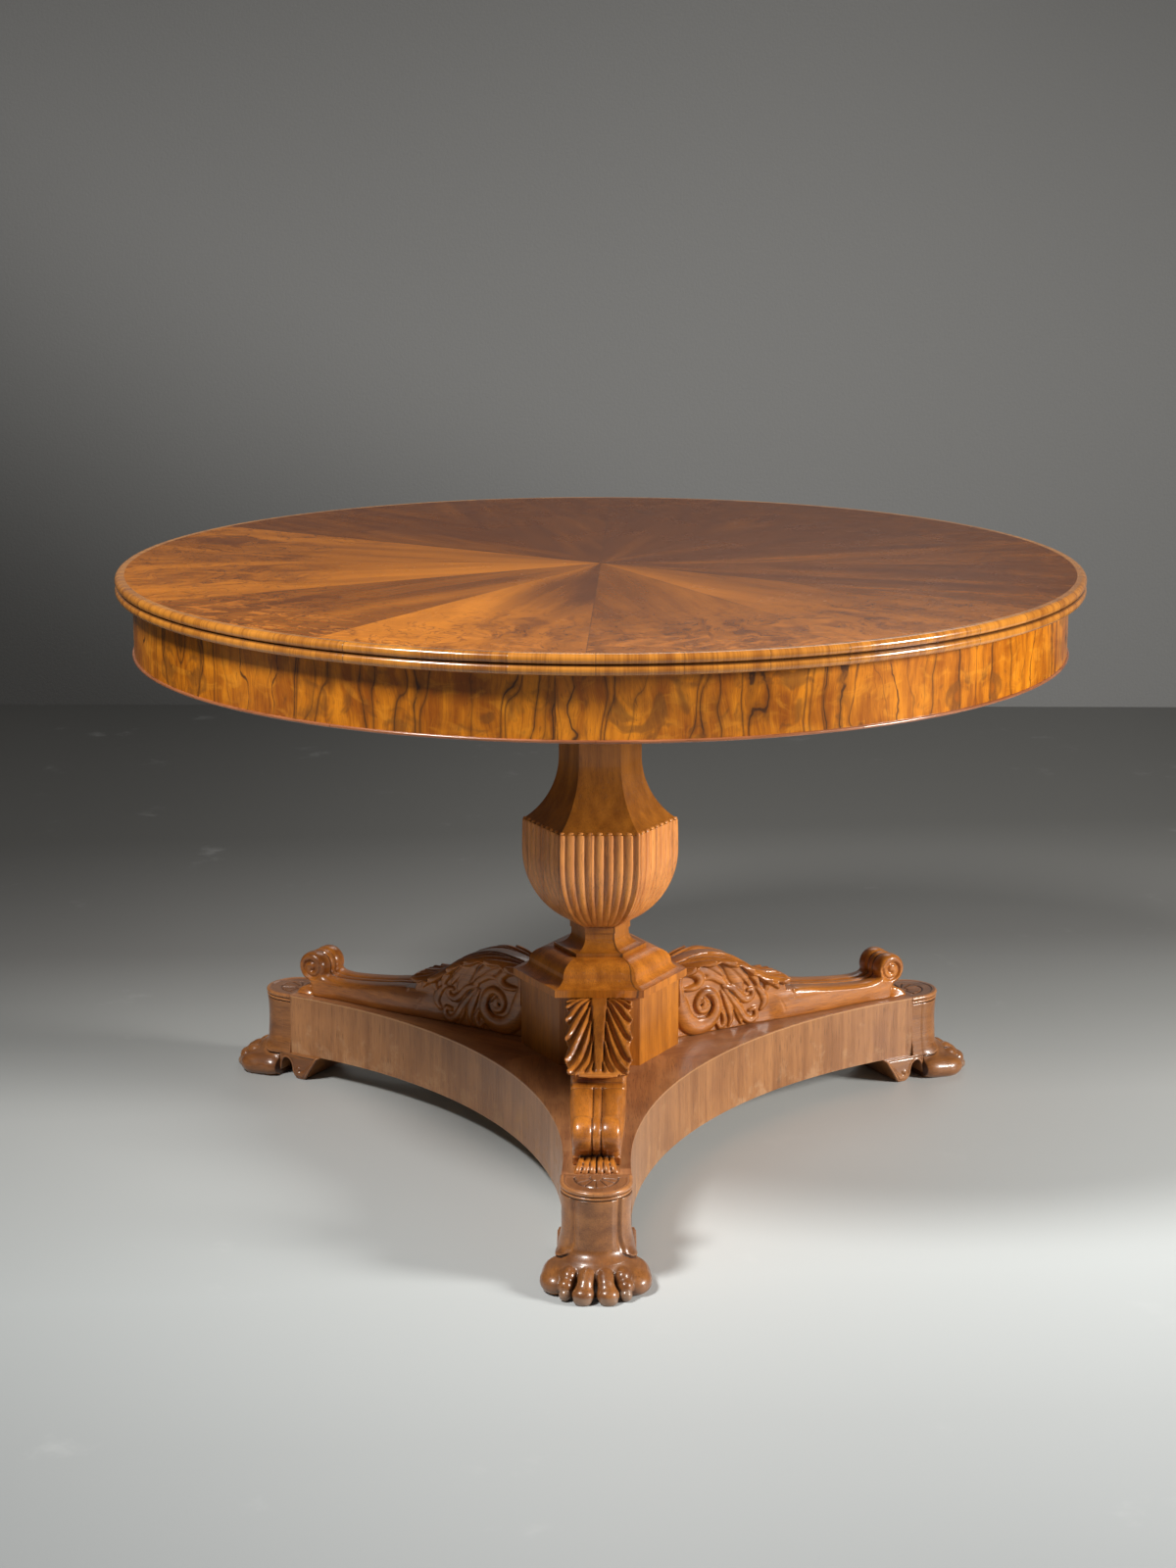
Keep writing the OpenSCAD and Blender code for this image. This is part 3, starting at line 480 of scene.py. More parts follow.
def veins(lines, wander, width, shown):
    """Long ink lines that run up the leaf and never close. Only some of them are strong."""
    sway = wood.noise(wood.vector(run, pair*0.03, z*0.45), 13.0, 2.0, 0.6)
    phase = run*lines + wander*sway + 15.0/lines*jog
    number = wood.function("FLOOR", phase)
    chance = chance_of(wood, number + lines)
    off = from_middle(wood, phase)
    strong = wood.step(chance, shown, shown + 0.25)
    return (1.0 - wood.step(off, 0.2*width, width))*strong, (1.0 - wood.step(off, 0.0, 5.0*width))*strong


ink_a, smoke_a = veins(46.0, 5.5, 0.060, 0.30)
ink_b, smoke_b = veins(83.0, 9.0, 0.080, 0.55)
broken = wood.step(wood.noise(leaf, 46.0, 3.0, 0.6), 0.28, 0.48)
ink = wood.function("MAXIMUM", ink_a, 0.75*ink_b)*broken
smoke = wood.function("MAXIMUM", smoke_a, smoke_b)
colour = wood.mix(0.62*smoke*patch, colour, (0.13, 0.038, 0.003))
arches = wood.noise(wood.vector(run*1.5, pair*0.03, z*1.5 + 0.10*bend), 15.0, 3.0, 0.55, 1.2)
cloudy = wood.step(arches, 0.52, 0.66)*patch
colour = wood.mix(0.60*cloudy, colour, (0.150, 0.052, 0.008))
colour = wood.mix(0.86*ink, colour, frieze_ink)
pores = wood.step(fibrous(wood, bent, 0.4, 900.0, 1.0), 0.62, 0.70)
colour = wood.mix(0.35*pores, colour, frieze_ink)
joint = 1.0 - wood.step(wood.function("MINIMUM", share, 1.0 - share), 0.0006, 0.0016)
colour = wood.mix(0.6*joint, colour, frieze_ink)
finish = wood.surface(colour, 0.24 + 0.10*clouds, fibres - pores, 0.00006, coat=(0.45, 0.10))
dress(finish, "frieze_veneer")

wood = Finish("rim_walnut")
turn, _, _, z = round_the_axis(wood)
strip = wood.vector(z, 0.0, turn*(math.tau*frieze_r))
colour, height = timber(wood, strip, (0.22, 0.070, 0.026), (0.40, 0.145, 0.060), 120.0, 0.06)
joint = wood.step(from_middle(wood, turn*rim_lengths), 0.4985, 0.4995)
colour = wood.mix(0.7*joint, colour, frieze_ink)
finish = wood.surface(colour, 0.24, height, 0.00005, coat=(0.4, 0.1))
dress(finish, "frieze_rim_bead")


def brick_finish(name, offset):
    """A pine block of the drum, its grain along the chord, with glue runs at the joints. Offset is how
    far its course is turned, in blocks."""
    wood = Finish(name)
    turn, _, _, z = round_the_axis(wood)
    bricks = turn*brick_count + offset
    number = wood.function("FLOOR", bricks)
    strip = wood.vector(z + 0.21*number, 0.37*number, turn*(math.tau*brick_r))
    rings = fibrous(wood, strip, 0.05, 110.0, 3.0)
    fibres = fibrous(wood, strip, 0.03, 600.0, 2.0)
    colour = wood.mix(wood.step(0.7*rings + 0.3*fibres, 0.42, 0.62), pine_pale, pine_brown)
    chance = chance_of(wood, number + offset)
    colour = wood.mix(0.35*chance, colour, (0.19, 0.11, 0.055))
    gap = wood.step(from_middle(wood, bricks), 0.492, 0.498)
    colour = wood.mix(0.7*gap, colour, (0.09, 0.045, 0.02))
    return wood.surface(colour, 0.75 + 0.1*rings, fibres - gap, 0.0004)


dress(brick_finish("brick_pine_upper", 0.5), "frieze_course_upper")
dress(brick_finish("brick_pine_lower", 0.0), "frieze_course_lower")


# ---- Inside the drum ----
# Two halved pine bearers carry the top on the column's head block, and rubbed glue blocks hold the
# boards to the ring.

for node, name, lie in (
        ("bearer_long", "bearer_pine_long", along_x), ("bearer_cross", "bearer_pine_cross", along_y),
        ("column_head_block", "head_pine", along_x), ("glue_blocks", "glue_block_pine", upright)):
    dress(pine_finish(name, lie), node)


# ---- Screws and tie rod ----
# Steel screws, sunk in pockets, hold boards, bearers, feet and brackets. One forged rod with a square
# nut and a washer at each end clamps the column between the plinth and the head block.

def iron_finish(name, colour, rust):
    metal = Finish(name)
    spot = metal.place()
    patch = metal.step(metal.noise(spot, 90.0, 4.0, 0.65), 0.45, 0.65)
    scale = metal.noise(spot, 420.0, 3.0, 0.6)
    tint = metal.mix(rust*patch, colour, (0.16, 0.06, 0.025))
    tint = metal.mix(0.4*scale, tint, tuple(0.45*c for c in colour))
    return metal.surface(tint, 0.42 + 0.4*patch, scale + patch, 0.0002, Metallic=0.9 - 0.7*rust*patch)


screw_steel = iron_finish("screw_steel", (0.30, 0.29, 0.27), 0.5)
dress(screw_steel, "bearer_screws", "head_screws", "foot_screws", "bracket_screws")
forged_iron = iron_finish("forged_iron", (0.17, 0.16, 0.155), 0.75)
dress(forged_iron, "tie_rod", "tie_rod_nuts", "tie_rod_washers")


# ---- Column neck, waist, cap and block ----
# Six-sided walnut, cut from straight stock with the grain upright and threaded on the iron rod.
# Each face is planed flat with crisp arrises. Six mitred boards case the pedestal block's pine core.

column_light = (0.54, 0.180, 0.016)
column_dark = (0.24, 0.066, 0.004)
hex_step = math.radians(60.0)
drying_turn = 0.583
no_split = 1e-5


def column_finish(name, apart, share, split):
    """Walnut with the grain upright. apart is how far the boards of two faces lie apart in the tree,
    share lightens or darkens the whole piece as painted light and shade, and split is the half
    width of the drying split in turns."""
    wood = Finish(name)
    turn, x, y, z = round_the_axis(wood)
    number = wood.function("FLOOR", turn*6.0 + 0.5)
    spot = wood.vector(x + apart*number, y - 0.6*apart*number, z)
    dark, light = [tuple(share*c for c in tone) for tone in (column_dark, column_light)]
    colour, height = timber(wood, spot, dark, light, 52.0, 0.07, 0.02)
    fleck = wood.step(fibrous(wood, spot, 0.25, 42.0, 3.0, 0.6), 0.62, 0.74)
    colour = wood.mix(0.32*fleck, colour, (0.10, 0.035, 0.012))
    worn = wood.noise(wood.place(), 24.0, 4.0, 0.6)
    crooked = turn - 0.10*(z - 0.25) + 0.012*wood.noise(wood.place(), 40.0, 3.0)
    drying = ridge(wood, crooked, drying_turn, split)
    colour = wood.mix(0.85*drying, colour, (0.030, 0.010, 0.004))
    colour = wood.mix(0.22*worn, colour, (0.62, 0.23, 0.040))
    return wood.surface(colour, 0.26 + 0.14*worn, height, coat=(0.3, 0.15))


# The neck and the waist are painted darker as shade, and the ogee cap lighter as painted light on its rising
# curve.
for node, apart, share, split in (
        ("column_neck", 0.0, 0.80, no_split), ("column_waist", 0.0, 0.78, 0.0085),
        ("ogee_cap", 0.0, 1.25, 0.0030), ("block_faces", 0.29, 1.0, no_split)):
    dress(column_finish(f"{node}_walnut", apart, share, split), node)
dress(pine_finish("core_pine", upright), "block_core")


# ---- Reeded urn ----
# The urn is one six-sided walnut turning blank, shaped by hand: seven full reeds stand on each face,
# one more wraps each corner, and every reed ends in a small rounded lip under the shoulder.

urn_base = 0.288
urn_sizes = {
    "Corner radius": 0.1015, "Height": 0.140, "Belly height": 0.097, "Foot radius": 0.0394,
    "Shoulder radius": 0.1006, "Reeds per face": 8, "Reed depth": 0.0038, "Lip height": 0.0055,
    "Steps per reed": 12, "Rows": 34, "Lip rows": 6}


def arch(tree, share):
    """Height of a half circle at a share of its half width."""
    return tree.function("SQRT", 1.0 - share*share)


class Layout(Tree):
    """A Geometry Nodes tree that makes one piece, with named inputs for its sizes."""

    def __init__(self, name, sizes):
        super().__init__(bpy.data.node_groups.new(name, "GeometryNodeTree"))
        face = self.group.interface
        face.new_socket(name="Geometry", in_out="OUTPUT", socket_type="NodeSocketGeometry")
        self.sizes = sizes
        for label, value in sizes.items():
            kind = "NodeSocketInt" if isinstance(value, int) else "NodeSocketFloat"
            face.new_socket(name=label, in_out="INPUT", socket_type=kind)
        self.source = self.group.nodes.new("NodeGroupInput")

    def size(self, label):
        return Term(self, self.source.outputs[label])

    def bake(self, name, geometry, material):
        real = self.add("GeometryNodeRealizeInstances", None, {0: geometry})
        painted = self.add("GeometryNodeSetMaterial", None, {"Geometry": real, "Material": material})
        self.add("NodeGroupOutput", None, {0: painted})
        holder = piece_of(f"{name}_layout", [(0.0, 0.0, 0.0)], [])
        layout = holder.modifiers.new("layout", "NODES")
        layout.node_group = self.group
        for item in self.group.interface.items_tree:
            if item.in_out == "INPUT":
                layout[item.identifier] = self.sizes[item.name]
        graph = bpy.context.evaluated_depsgraph_get()
        mesh = bpy.data.meshes.new_from_object(holder.evaluated_get(graph))
        bpy.data.objects.remove(holder)
        mesh.name = name
        return stand(name, mesh)


def close_up(thing):
    """Merges what meets, drops faces that have shrunk to nothing, and turns every face outwards."""
    shell = bmesh.new()
    shell.from_mesh(thing.data)
    bmesh.ops.remove_doubles(shell, verts=shell.verts, dist=1e-6)
    bmesh.ops.dissolve_degenerate(shell, edges=shell.edges, dist=1e-7)
    bmesh.ops.recalc_face_normals(shell, faces=shell.faces)
    shell.to_mesh(thing.data)
    shell.free()
    thing.data.polygons.foreach_set("use_smooth", [True]*len(thing.data.polygons))
    thing.data.update()
    return thing


def fit(thing, slot, *nodes):
    """Seats a finished piece: it rides with the table and stands for its plain nodes."""
    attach(thing, "root")
    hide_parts(*nodes)


def stored(wood, label, out=2):
    """A number that the carving leaves on its points, or a place where out is 1."""
    return wood.add("ShaderNodeAttribute", {"attribute_name": label}, None, out)


def carved_finish(name, light, dark, coat, rings=48.0, own_grain=True, depth=0.00008, clawed=False):
    """Walnut with its edges lightened, as rubbed polish and painted highlight, and its hollows
    darkened, as old wax and dirt and painted shade.
    """
    wood = Finish(name)
    spot = stored(wood, "grain", 1) if own_grain else wood.place()
    hollow, crest = stored(wood, "hollow"), stored(wood, "crest")
    colour, height = timber(wood, spot, dark, light, rings, 0.10, 0.03)
    fleck = wood.step(fibrous(wood, spot, 0.4, 60.0, 3.0, 0.6), 0.60, 0.74)
    colour = wood.mix(0.26*fleck, colour, tuple(0.4*c for c in dark))
    # Hollows are painted darker: old wax and dirt, and painted shade.
    dirt_and_shade = wood.step(hollow + 0.25*wood.noise(spot, 130.0, 3.0) - 0.12, 0.10, 0.66)
    colour = wood.mix(0.86*dirt_and_shade, colour, (0.055, 0.020, 0.009))
    # Crests are painted lighter: rubbed polish, and painted highlight.
    rubbed_and_highlit = wood.step(crest + 0.3*wood.noise(spot, 70.0, 3.0) - 0.15, 0.15, 0.8)
    colour = wood.mix(0.42*rubbed_and_highlit, colour, tuple(min(1.0, 1.3*c + 0.03) for c in light))
    worn = wood.noise(spot, 30.0, 4.0, 0.6)
    if clawed:
        horn = wood.mix(wood.noise(wood.place(), 120.0, 3.0), (0.30, 0.21, 0.15), (0.15, 0.090, 0.055))
        colour = wood.mix(0.65*stored(wood, "claw"), colour, horn)
    return wood.surface(colour, 0.24 + 0.14*worn + 0.22*dirt_and_shade, height, depth, coat)


urn = Layout("urn_layout", urn_sizes)
reeds, rows, lip_rows = urn.size("Reeds per face"), urn.size("Rows"), urn.size("Lip rows")
across_count = reeds*urn.size("Steps per reed")*6.0 + 1.0
up_count = rows + lip_rows + 3.0
sheet = urn.add(
    "GeometryNodeMeshGrid", None,
    {"Size X": 1.0, "Size Y": 1.0, "Vertices X": across_count, "Vertices Y": up_count})
sheet_x, sheet_y = urn.parts(urn.add("GeometryNodeInputPosition"))[:2]
along = (sheet_x + 0.5)*6.0
face = urn.function("FLOOR", along + 1e-4)
along = urn.limit(along - face)
row = urn.function("ROUND", (sheet_y + 0.5)*(up_count - 1.0))
reed = along*reeds
off = reed - urn.function("ROUND", reed)
crown = arch(urn, off*1.97)
rise = urn.limit((row - 1.0)/(rows - 1.0))
lip = urn.limit((row - rows)/lip_rows)*(math.pi/2.0)
wall = urn.function("GREATER_THAN", row, rows + lip_rows + 0.5)
height, lip_h = urn.size("Height"), urn.size("Lip height")
scallop = 0.30 + 0.70*crown
h = rise*(height - lip_h) + lip_h*scallop*urn.function("SINE", lip)
h = h + wall*(height - h)
corner_r, belly_h = urn.size("Corner radius"), urn.size("Belly height")
down = h - belly_h
deep = belly_h/arch(urn, urn.size("Foot radius")/corner_r)
tall = (height - belly_h)/arch(urn, urn.size("Shoulder radius")/corner_r)
upper = urn.function("GREATER_THAN", down, 0.0)
half_axis = deep + upper*(tall - deep)
ring_r = corner_r*arch(urn, down/half_axis)
corner = (face*60.0 + 30.0)*(math.pi/180.0)
beyond = corner + hex_step
px, back = [
    urn.function(wave, corner)*(1.0 - along) + urn.function(wave, beyond)*along
    for wave in ("SINE", "COSINE")]
py = -back
plain = urn.function("SQRT", px*px + py*py)
cut = urn.size("Reed depth")*(ring_r/corner_r)*(1.0 - crown)
inset = 0.42*lip_h*(1.0 - urn.function("COSINE", lip)) + wall*0.008
shown = urn.function("COMPARE", row, 0.0, 0.1) + urn.function("COMPARE", row, up_count - 1.0, 0.1)
reach = (ring_r*plain - cut - inset)*(1.0 - shown)/plain
shaped = urn.add(
    "GeometryNodeSetPosition", None,
    {"Geometry": sheet, "Position": urn.vector(px*reach, py*reach, h + urn_base)})
marked = shaped
# hollow darkens the grooves between the reeds with dirt and painted shade, and crest lightens the reeds' tops
# with wear and painted highlight.
for label, value in (("hollow", urn.limit(0.70 - 1.25*crown)), ("crest", urn.limit(crown*1.2 - 0.75)*0.8)):
    marked = urn.add(
        "GeometryNodeStoreNamedAttribute", {"data_type": "FLOAT", "domain": "POINT"},
        {"Geometry": marked, "Name": label, "Value": value})
reeded = carved_finish(
    "reeded_walnut", (0.80, 0.315, 0.070), (0.50, 0.165, 0.038), (0.35, 0.12), own_grain=False)
fit(close_up(urn.bake("carved_urn", marked, reeded)), "reeded_walnut", "reeded_urn")


# ---- Plinth ----
# Three mitred pine arms make a tripod with hollow sides. Light walnut with upright grain faces the
# sides, and darker walnut in three pieces covers the top and shows as a thin line at its edge.

arm_names = ("front", "right", "left")
side_light = (0.42, 0.185, 0.066)
side_dark = (0.25, 0.098, 0.032)
plinth_dark = (0.235, 0.090, 0.038)
plinth_light = (0.44, 0.195, 0.075)
arm_turn = math.radians(120.0)
veneer_edge = (0.1160, 0.1172)

wood = Finish("plinth_side_walnut")
spot = wood.place()
colour, height = timber(wood, spot, side_dark, side_light, 58.0, 0.05, 0.015)
smudge = wood.step(fibrous(wood, spot, 0.35, 16.0, 3.0, 0.6), 0.52, 0.72)
colour = wood.mix(0.38*smudge, colour, (0.22, 0.085, 0.035))
z = wood.parts(spot)[2]
# Pale patches, stronger lower down, are partly scuffs and partly a painted reflection of the floor.
scuffs_and_reflection = wood.step(wood.noise(spot, 34.0, 4.0, 0.65) - z*2.6, 0.36, 0.50)
colour = wood.mix(0.22*scuffs_and_reflection, colour, (0.62, 0.40, 0.22))
edge = wood.step(z, *veneer_edge)
colour = wood.mix(0.5*edge, colour, (0.66, 0.36, 0.15))
side_finish = wood.surface(colour, 0.30 + 0.22*scuffs_and_reflection, height, coat=(0.25, 0.2))
dress(side_finish, "plinth_side_1", "plinth_side_2", "plinth_side_3")

wood = Finish("plinth_top_walnut")
turn, x, y, _ = round_the_axis(wood)
arm = wood.function("FRACT", turn*3.0 + 0.5 - 1.5)
number = wood.function("FLOOR", turn*3.0)
reach = wood.function("SQRT", x*x + y*y)
swing = (arm - 0.5)*arm_turn
lane = wood.vector(reach*wood.function("SINE", swing) + 0.3*number, 0.0, reach*wood.function("COSINE", swing))
colour, height = timber(wood, lane, plinth_dark, plinth_light, 60.0, 0.08, 0.03)
worn = wood.noise(wood.place(), 22.0, 4.0, 0.6)
colour = wood.mix(0.30*wood.step(worn, 0.5, 0.7), colour, (0.52, 0.27, 0.12))
finish = wood.surface(colour, 0.34 + 0.2*worn, height, coat=(0.2, 0.2))
dress(finish, "plinth_top_veneer")

dress(pine_finish("arm_pine", along_x), *[f"plinth_arm_{arm}" for arm in arm_names])


# ---- Paw feet ----
# Each paw is carved from one block of walnut and screwed up into the end block: four jointed toes
# with worn claws in front, a round pad at each side, and a flat back where the heel scroll joins.

paw_h, end_top, plinth_top = 35.0, 108.0, 119.0
arm_reach, nose_r, nose_centre = 476.0, 41.0, 494.0


def held(value):
    """The value, kept between 0 and 1."""
    return np.clip(value, 0.0, 1.0)


def vee(gap, width):
    """1 on a cut's line, falling straight to 0 at its width."""
    return held(1.0 - np.abs(gap)/width)


def bell(gap, width):
    """1 on a line, falling off softly on both sides."""
    return np.exp(-(gap/width)**2)


def bowed(share):
    """Height of a half round at a share of its half width."""
    return np.sqrt(held(1.0 - share**2))


def smooth_step(value):
    value = held(value)
    return value*value*(3.0 - 2.0*value)


def even_line(points, steps=8):
    """A smooth line through given points, with the numbers that ride on each point."""
    points = np.asarray(points, float)
    ends = np.vstack([2*points[0] - points[1], points, 2*points[-1] - points[-2]])
    t = np.linspace(0.0, 1.0, steps, endpoint=False)[:, None]
    line = []
    for a, b, c, d in zip(ends, ends[1:], ends[2:], ends[3:]):
        line.append(0.5*(2*b + (c - a)*t + (2*a - 5*b + 4*c - d)*t**2 + (3*b - a - 3*c + d)*t**3))
    return np.vstack([*line, points[-1:]])


def nearest(line, u, v):
    """Distance of each place (u, v) from a line, how far along it the nearest point is, and the line's
    own numbers there."""
    best = np.full(np.shape(u), np.inf)
    run = np.zeros(np.shape(u))
    extra = [np.zeros(np.shape(u)) for _ in range(line.shape[1] - 2)]
    start = 0.0
    for p, q in zip(line, line[1:]):
        step = q[:2] - p[:2]
        long = max(float(np.hypot(*step)), 1e-9)
        t = held(((u - p[0])*step[0] + (v - p[1])*step[1])/long**2)
        gap = np.hypot(u - p[0] - t*step[0], v - p[1] - t*step[1])
        closer = gap < best
        best = np.where(closer, gap, best)
        run = np.where(closer, start + t*long, run)
        for i, kept in enumerate(extra):
            extra[i] = np.where(closer, p[2 + i] + (q[2 + i] - p[2 + i])*t, kept)
        start += long
    return best, run, extra


def lobe(points, u, v, height, vein=0.0):
    """Height of a rounded lobe that follows (u, v, half width) points, with a fine cut along its middle."""
    gap, _, (half,) = nearest(even_line(points), u, v)
    swell = bowed(gap/np.maximum(half, 0.2))
    raised = height*swell*held(half/np.max([p[2] for p in points]) + 0.35)
    return raised - vein*bell(gap, 0.8)*(swell > 0.3)


def softly(a, b, blend):
    """The smaller of two distances, with the corner between them rounded."""
    h = held(0.5 + 0.5*(b - a)/blend)
    return b + (a - b)*h - blend*h*(1.0 - h)


def hardly(a, b, blend):
    """The larger of two distances, with the corner between them rounded."""
    return -softly(-a, -b, blend)


def sampled(field, spots):
    """The field's value between its points, for spots counted in cells."""
    top = np.array(field.shape) - 1.001
    spots = np.clip(spots, 0.0, top)
    low = spots.astype(int)
    part = spots - low
    total = np.zeros(len(spots))
    for corner in range(8):
        bits = np.array([(corner >> b) & 1 for b in range(3)])
        weight = np.prod(np.where(bits, part, 1.0 - part), axis=1)
        i, j, k = (low + bits).T
        total += weight*field[i, j, k]
    return total


def slope(field, spots):
    return np.stack(
        [sampled(field, spots + step) - sampled(field, spots - step) for step in 0.6*np.eye(3)], axis=1)


def carve(field, corner, cell, whole=None):
    """The skin between wood, where the field is below 0, and air. Gives points, four-sided faces, and
    how deep in a hollow and how far out on a crest of the whole carving each point lies."""
    whole = field if whole is None else whole
    solid = field < 0
    corners = np.array([(i, j, k) for i in (0, 1) for j in (0, 1) for k in (0, 1)])
    wide, deep, tall = np.array(field.shape) - 1
    filled = sum(solid[i:i + wide, j:j + deep, k:k + tall].astype(np.int8) for i, j, k in corners)
    cells = np.argwhere((filled > 0) & (filled < 8))
    number = np.full(filled.shape, -1, int)
    number[tuple(cells.T)] = np.arange(len(cells))
    values = np.stack([field[tuple((cells + c).T)] for c in corners], axis=1)
    total, count = np.zeros((len(cells), 3)), np.zeros(len(cells))
    for a in range(8):
        for b in range(a + 1, 8):
            if np.abs(corners[a] - corners[b]).sum() != 1:
                continue
            crossing = (values[:, a] < 0) != (values[:, b] < 0)
            share = np.where(crossing, values[:, a]/np.where(crossing, values[:, a] - values[:, b], 1.0), 0.0)
            total += crossing[:, None]*(corners[a] + share[:, None]*(corners[b] - corners[a]))
            count += crossing
    spots = cells + total/count[:, None]
    for _ in range(2):
        lean = slope(field, spots)/1.2
        move = sampled(field, spots)[:, None]*lean/np.maximum((lean**2).sum(1), 1e-6)[:, None]
        spots = np.clip(spots - np.clip(move, -0.4, 0.4), cells - 0.1, cells + 1.1)
    faces = []
    for axis in range(3):
        second, third = (axis + 1) % 3, (axis + 2) % 3
        here = np.argwhere(np.diff(solid.astype(np.int8), axis=axis) != 0)
        inner = (here[:, second] > 0) & (here[:, third] > 0)
        inner &= (here[:, second] < field.shape[second] - 1) & (here[:, third] < field.shape[third] - 1)
        here = here[inner]
        ring = []
        for back_second, back_third in ((1, 1), (0, 1), (0, 0), (1, 0)):
            place = here.copy()
            place[:, second] -= back_second
            place[:, third] -= back_third
            ring.append(number[tuple(place.T)])
        ring = np.stack(ring, axis=1)
        inward = ~solid[tuple(here.T)]
        ring[inward] = ring[inward][:, ::-1]
        faces.append(ring)
    out = slope(field, spots)
    out /= np.maximum(np.linalg.norm(out, axis=1), 1e-9)[:, None]
    reach = 2.4
    hollow = held(1.0 - sampled(whole, spots + reach/cell*out)/reach)
    crest = held(1.0 + sampled(whole, spots - reach/cell*out)/reach)
    return np.array(corner) + spots*cell, np.vstack(faces), hollow, crest


def sawn(field, *cuts):
    """The field, cut off wherever one of the cuts is above 0."""
    for cut in cuts:
        field = np.maximum(field, cut)
    return field


def block_of(corner, far, cell):
    """The places in a block of wood, in millimetres: across the arm, out along it, and up."""
    axes = [np.arange(a, b + cell, cell) for a, b in zip(corner, far)]
    return np.meshgrid(*axes, indexing="ij", sparse=True)


def for_three_arms(name, skin, material, slot, stands_for, marks=None):
    """Sets one carved piece on each arm. Places come in as (across, out, up) in millimetres."""
    points, faces, hollow, crest = skin
    grain = points[:, [0, 2, 1]]/1000.0
    for turn, arm in enumerate(arm_names):
        c, s = math.cos(turn*arm_turn), math.sin(turn*arm_turn)
        x, y, z = points[:, 0]/1000.0, -points[:, 1]/1000.0, points[:, 2]/1000.0
        placed = np.stack([c*x - s*y, s*x + c*y, z], axis=1)
        thing = piece_of(f"{name}_{arm}", placed, faces[:, ::-1])
        lie = thing.data.attributes.new("grain", "FLOAT_VECTOR", "POINT")
        lie.data.foreach_set("vector", (grain + [0.4*turn, 0.0, 0.0]).astype(np.float32).ravel())
        for label, values in {"hollow": hollow, "crest": crest, **(marks or {})}.items():
            mark = thing.data.attributes.new(label, "FLOAT", "POINT")
            mark.data.foreach_set("value", np.asarray(values, np.float32))
        thing.data.materials.append(material)
        fit(thing, slot, f"{stands_for}_{arm}")


def nose_plan(across, out):
    """Distance inside a round-nosed block's outline as a radius, and the place along its outline."""
    ahead = out - nose_centre
    radius = np.where(ahead > 0, np.hypot(across, ahead), np.abs(across) + 0*ahead)
    turned = nose_r*np.arctan2(np.abs(across), np.maximum(ahead, 1e-6))
    return radius, np.where(ahead > 0, turned, nose_r*math.pi/2 - ahead)


def ball(here, centre, radii):
    """Distance from an egg-shaped lump, near enough."""
    u, v, w = [(place - middle)/size for place, middle, size in zip(here, centre, radii)]
    return (np.sqrt(u**2 + v**2 + w**2) - 1.0)*min(radii)


def finger(here, a, b, thick_a, thick_b):
    """Distance from a round bar that tapers from a to b."""
    x, r, z = here
    a, b = np.array(a, float), np.array(b, float)
    step = b - a
    t = held(((x - a[0])*step[0] + (r - a[1])*step[1] + (z - a[2])*step[2])/(step**2).sum())
    gap = np.sqrt((x - a[0] - t*step[0])**2 + (r - a[1] - t*step[1])**2 + (z - a[2] - t*step[2])**2)
    return gap - (thick_a + (thick_b - thick_a)*t)


def foot_wood(here):
    """Distance from a foot without its toes. The carver shapes paw and end block together, so that the
    round nose, with its pilaster between two flutes, runs down into the pads without a step."""
    x, r, z = here
    radius, round_at = nose_plan(x, r)
    waisted = nose_r - 1.4*np.sin(np.pi*held((z - 50.0)/(end_top - 50.0)))
    pace, low = 0.5, -4.0
    u, v = np.meshgrid(np.arange(0.0, 92.0, pace), np.arange(low, 113.0, pace), indexing="ij")
    flute = even_line([(29.5, 112, 4.4), (29.5, 66, 4.4), (30.0, 56, 5.0), (32.0, 47, 6.0), (34.0, 42, 4.0)])
    gap, _, (half,) = nearest(flute, u, v)
    shape = -1.5*(1.0 + np.cos(np.pi*held(gap/half)))*smooth_step((v - 40.0)/16.0)
    shape += 1.1*bowed((u - 50.0)/16.5)*(u > 33.5)
    shape += 0.8*smooth_step((23.5 - u)/4.5)*smooth_step((v - 42.0)/16.0)
    hem = np.interp(u, [28, 34, 42, 50, 62, 92], [44.0, 39.5, 35.0, 32.5, 32.0, 33.0])
    drop = 2.2*smooth_step((v - hem)/1.6)*smooth_step((61.0 - v)/20.0)*smooth_step((u - 29.0)/10.0)
    drop -= 0.9*bell(v - hem + 0.8, 1.0)*smooth_step((u - 29.0)/8.0)
    i = np.clip(np.round(round_at/pace).astype(int), 0, shape.shape[0] - 1)
    j = np.clip(np.round((z - low)/pace).astype(int), 0, shape.shape[1] - 1)
    leg = radius - (waisted + shape[i, j] + 1.6*held((52.0 - z)/16.0)**2)
    body = softly(ball(here, (0, 519, 20), (41, 35, 24)), ball(here, (0, 509, 27), (41, 33, 18)), 8.0)
    for side in (-1, 1):
        pad = ball(here, (side*45, 532, 11.5), (20, 26, 15.5))
        pad = softly(pad, ball(here, (side*45, 510, 13), (17, 22, 14.5)), 6.0)
        body = softly(body, pad, 9.0)
    sole = finger(here, (-28, 532, 5), (28, 532, 5), 24, 24)
    body = softly(body, np.maximum(sole, z - 16.0), 3.0)
    return softly(leg, body, 7.0) - drop[i, j]


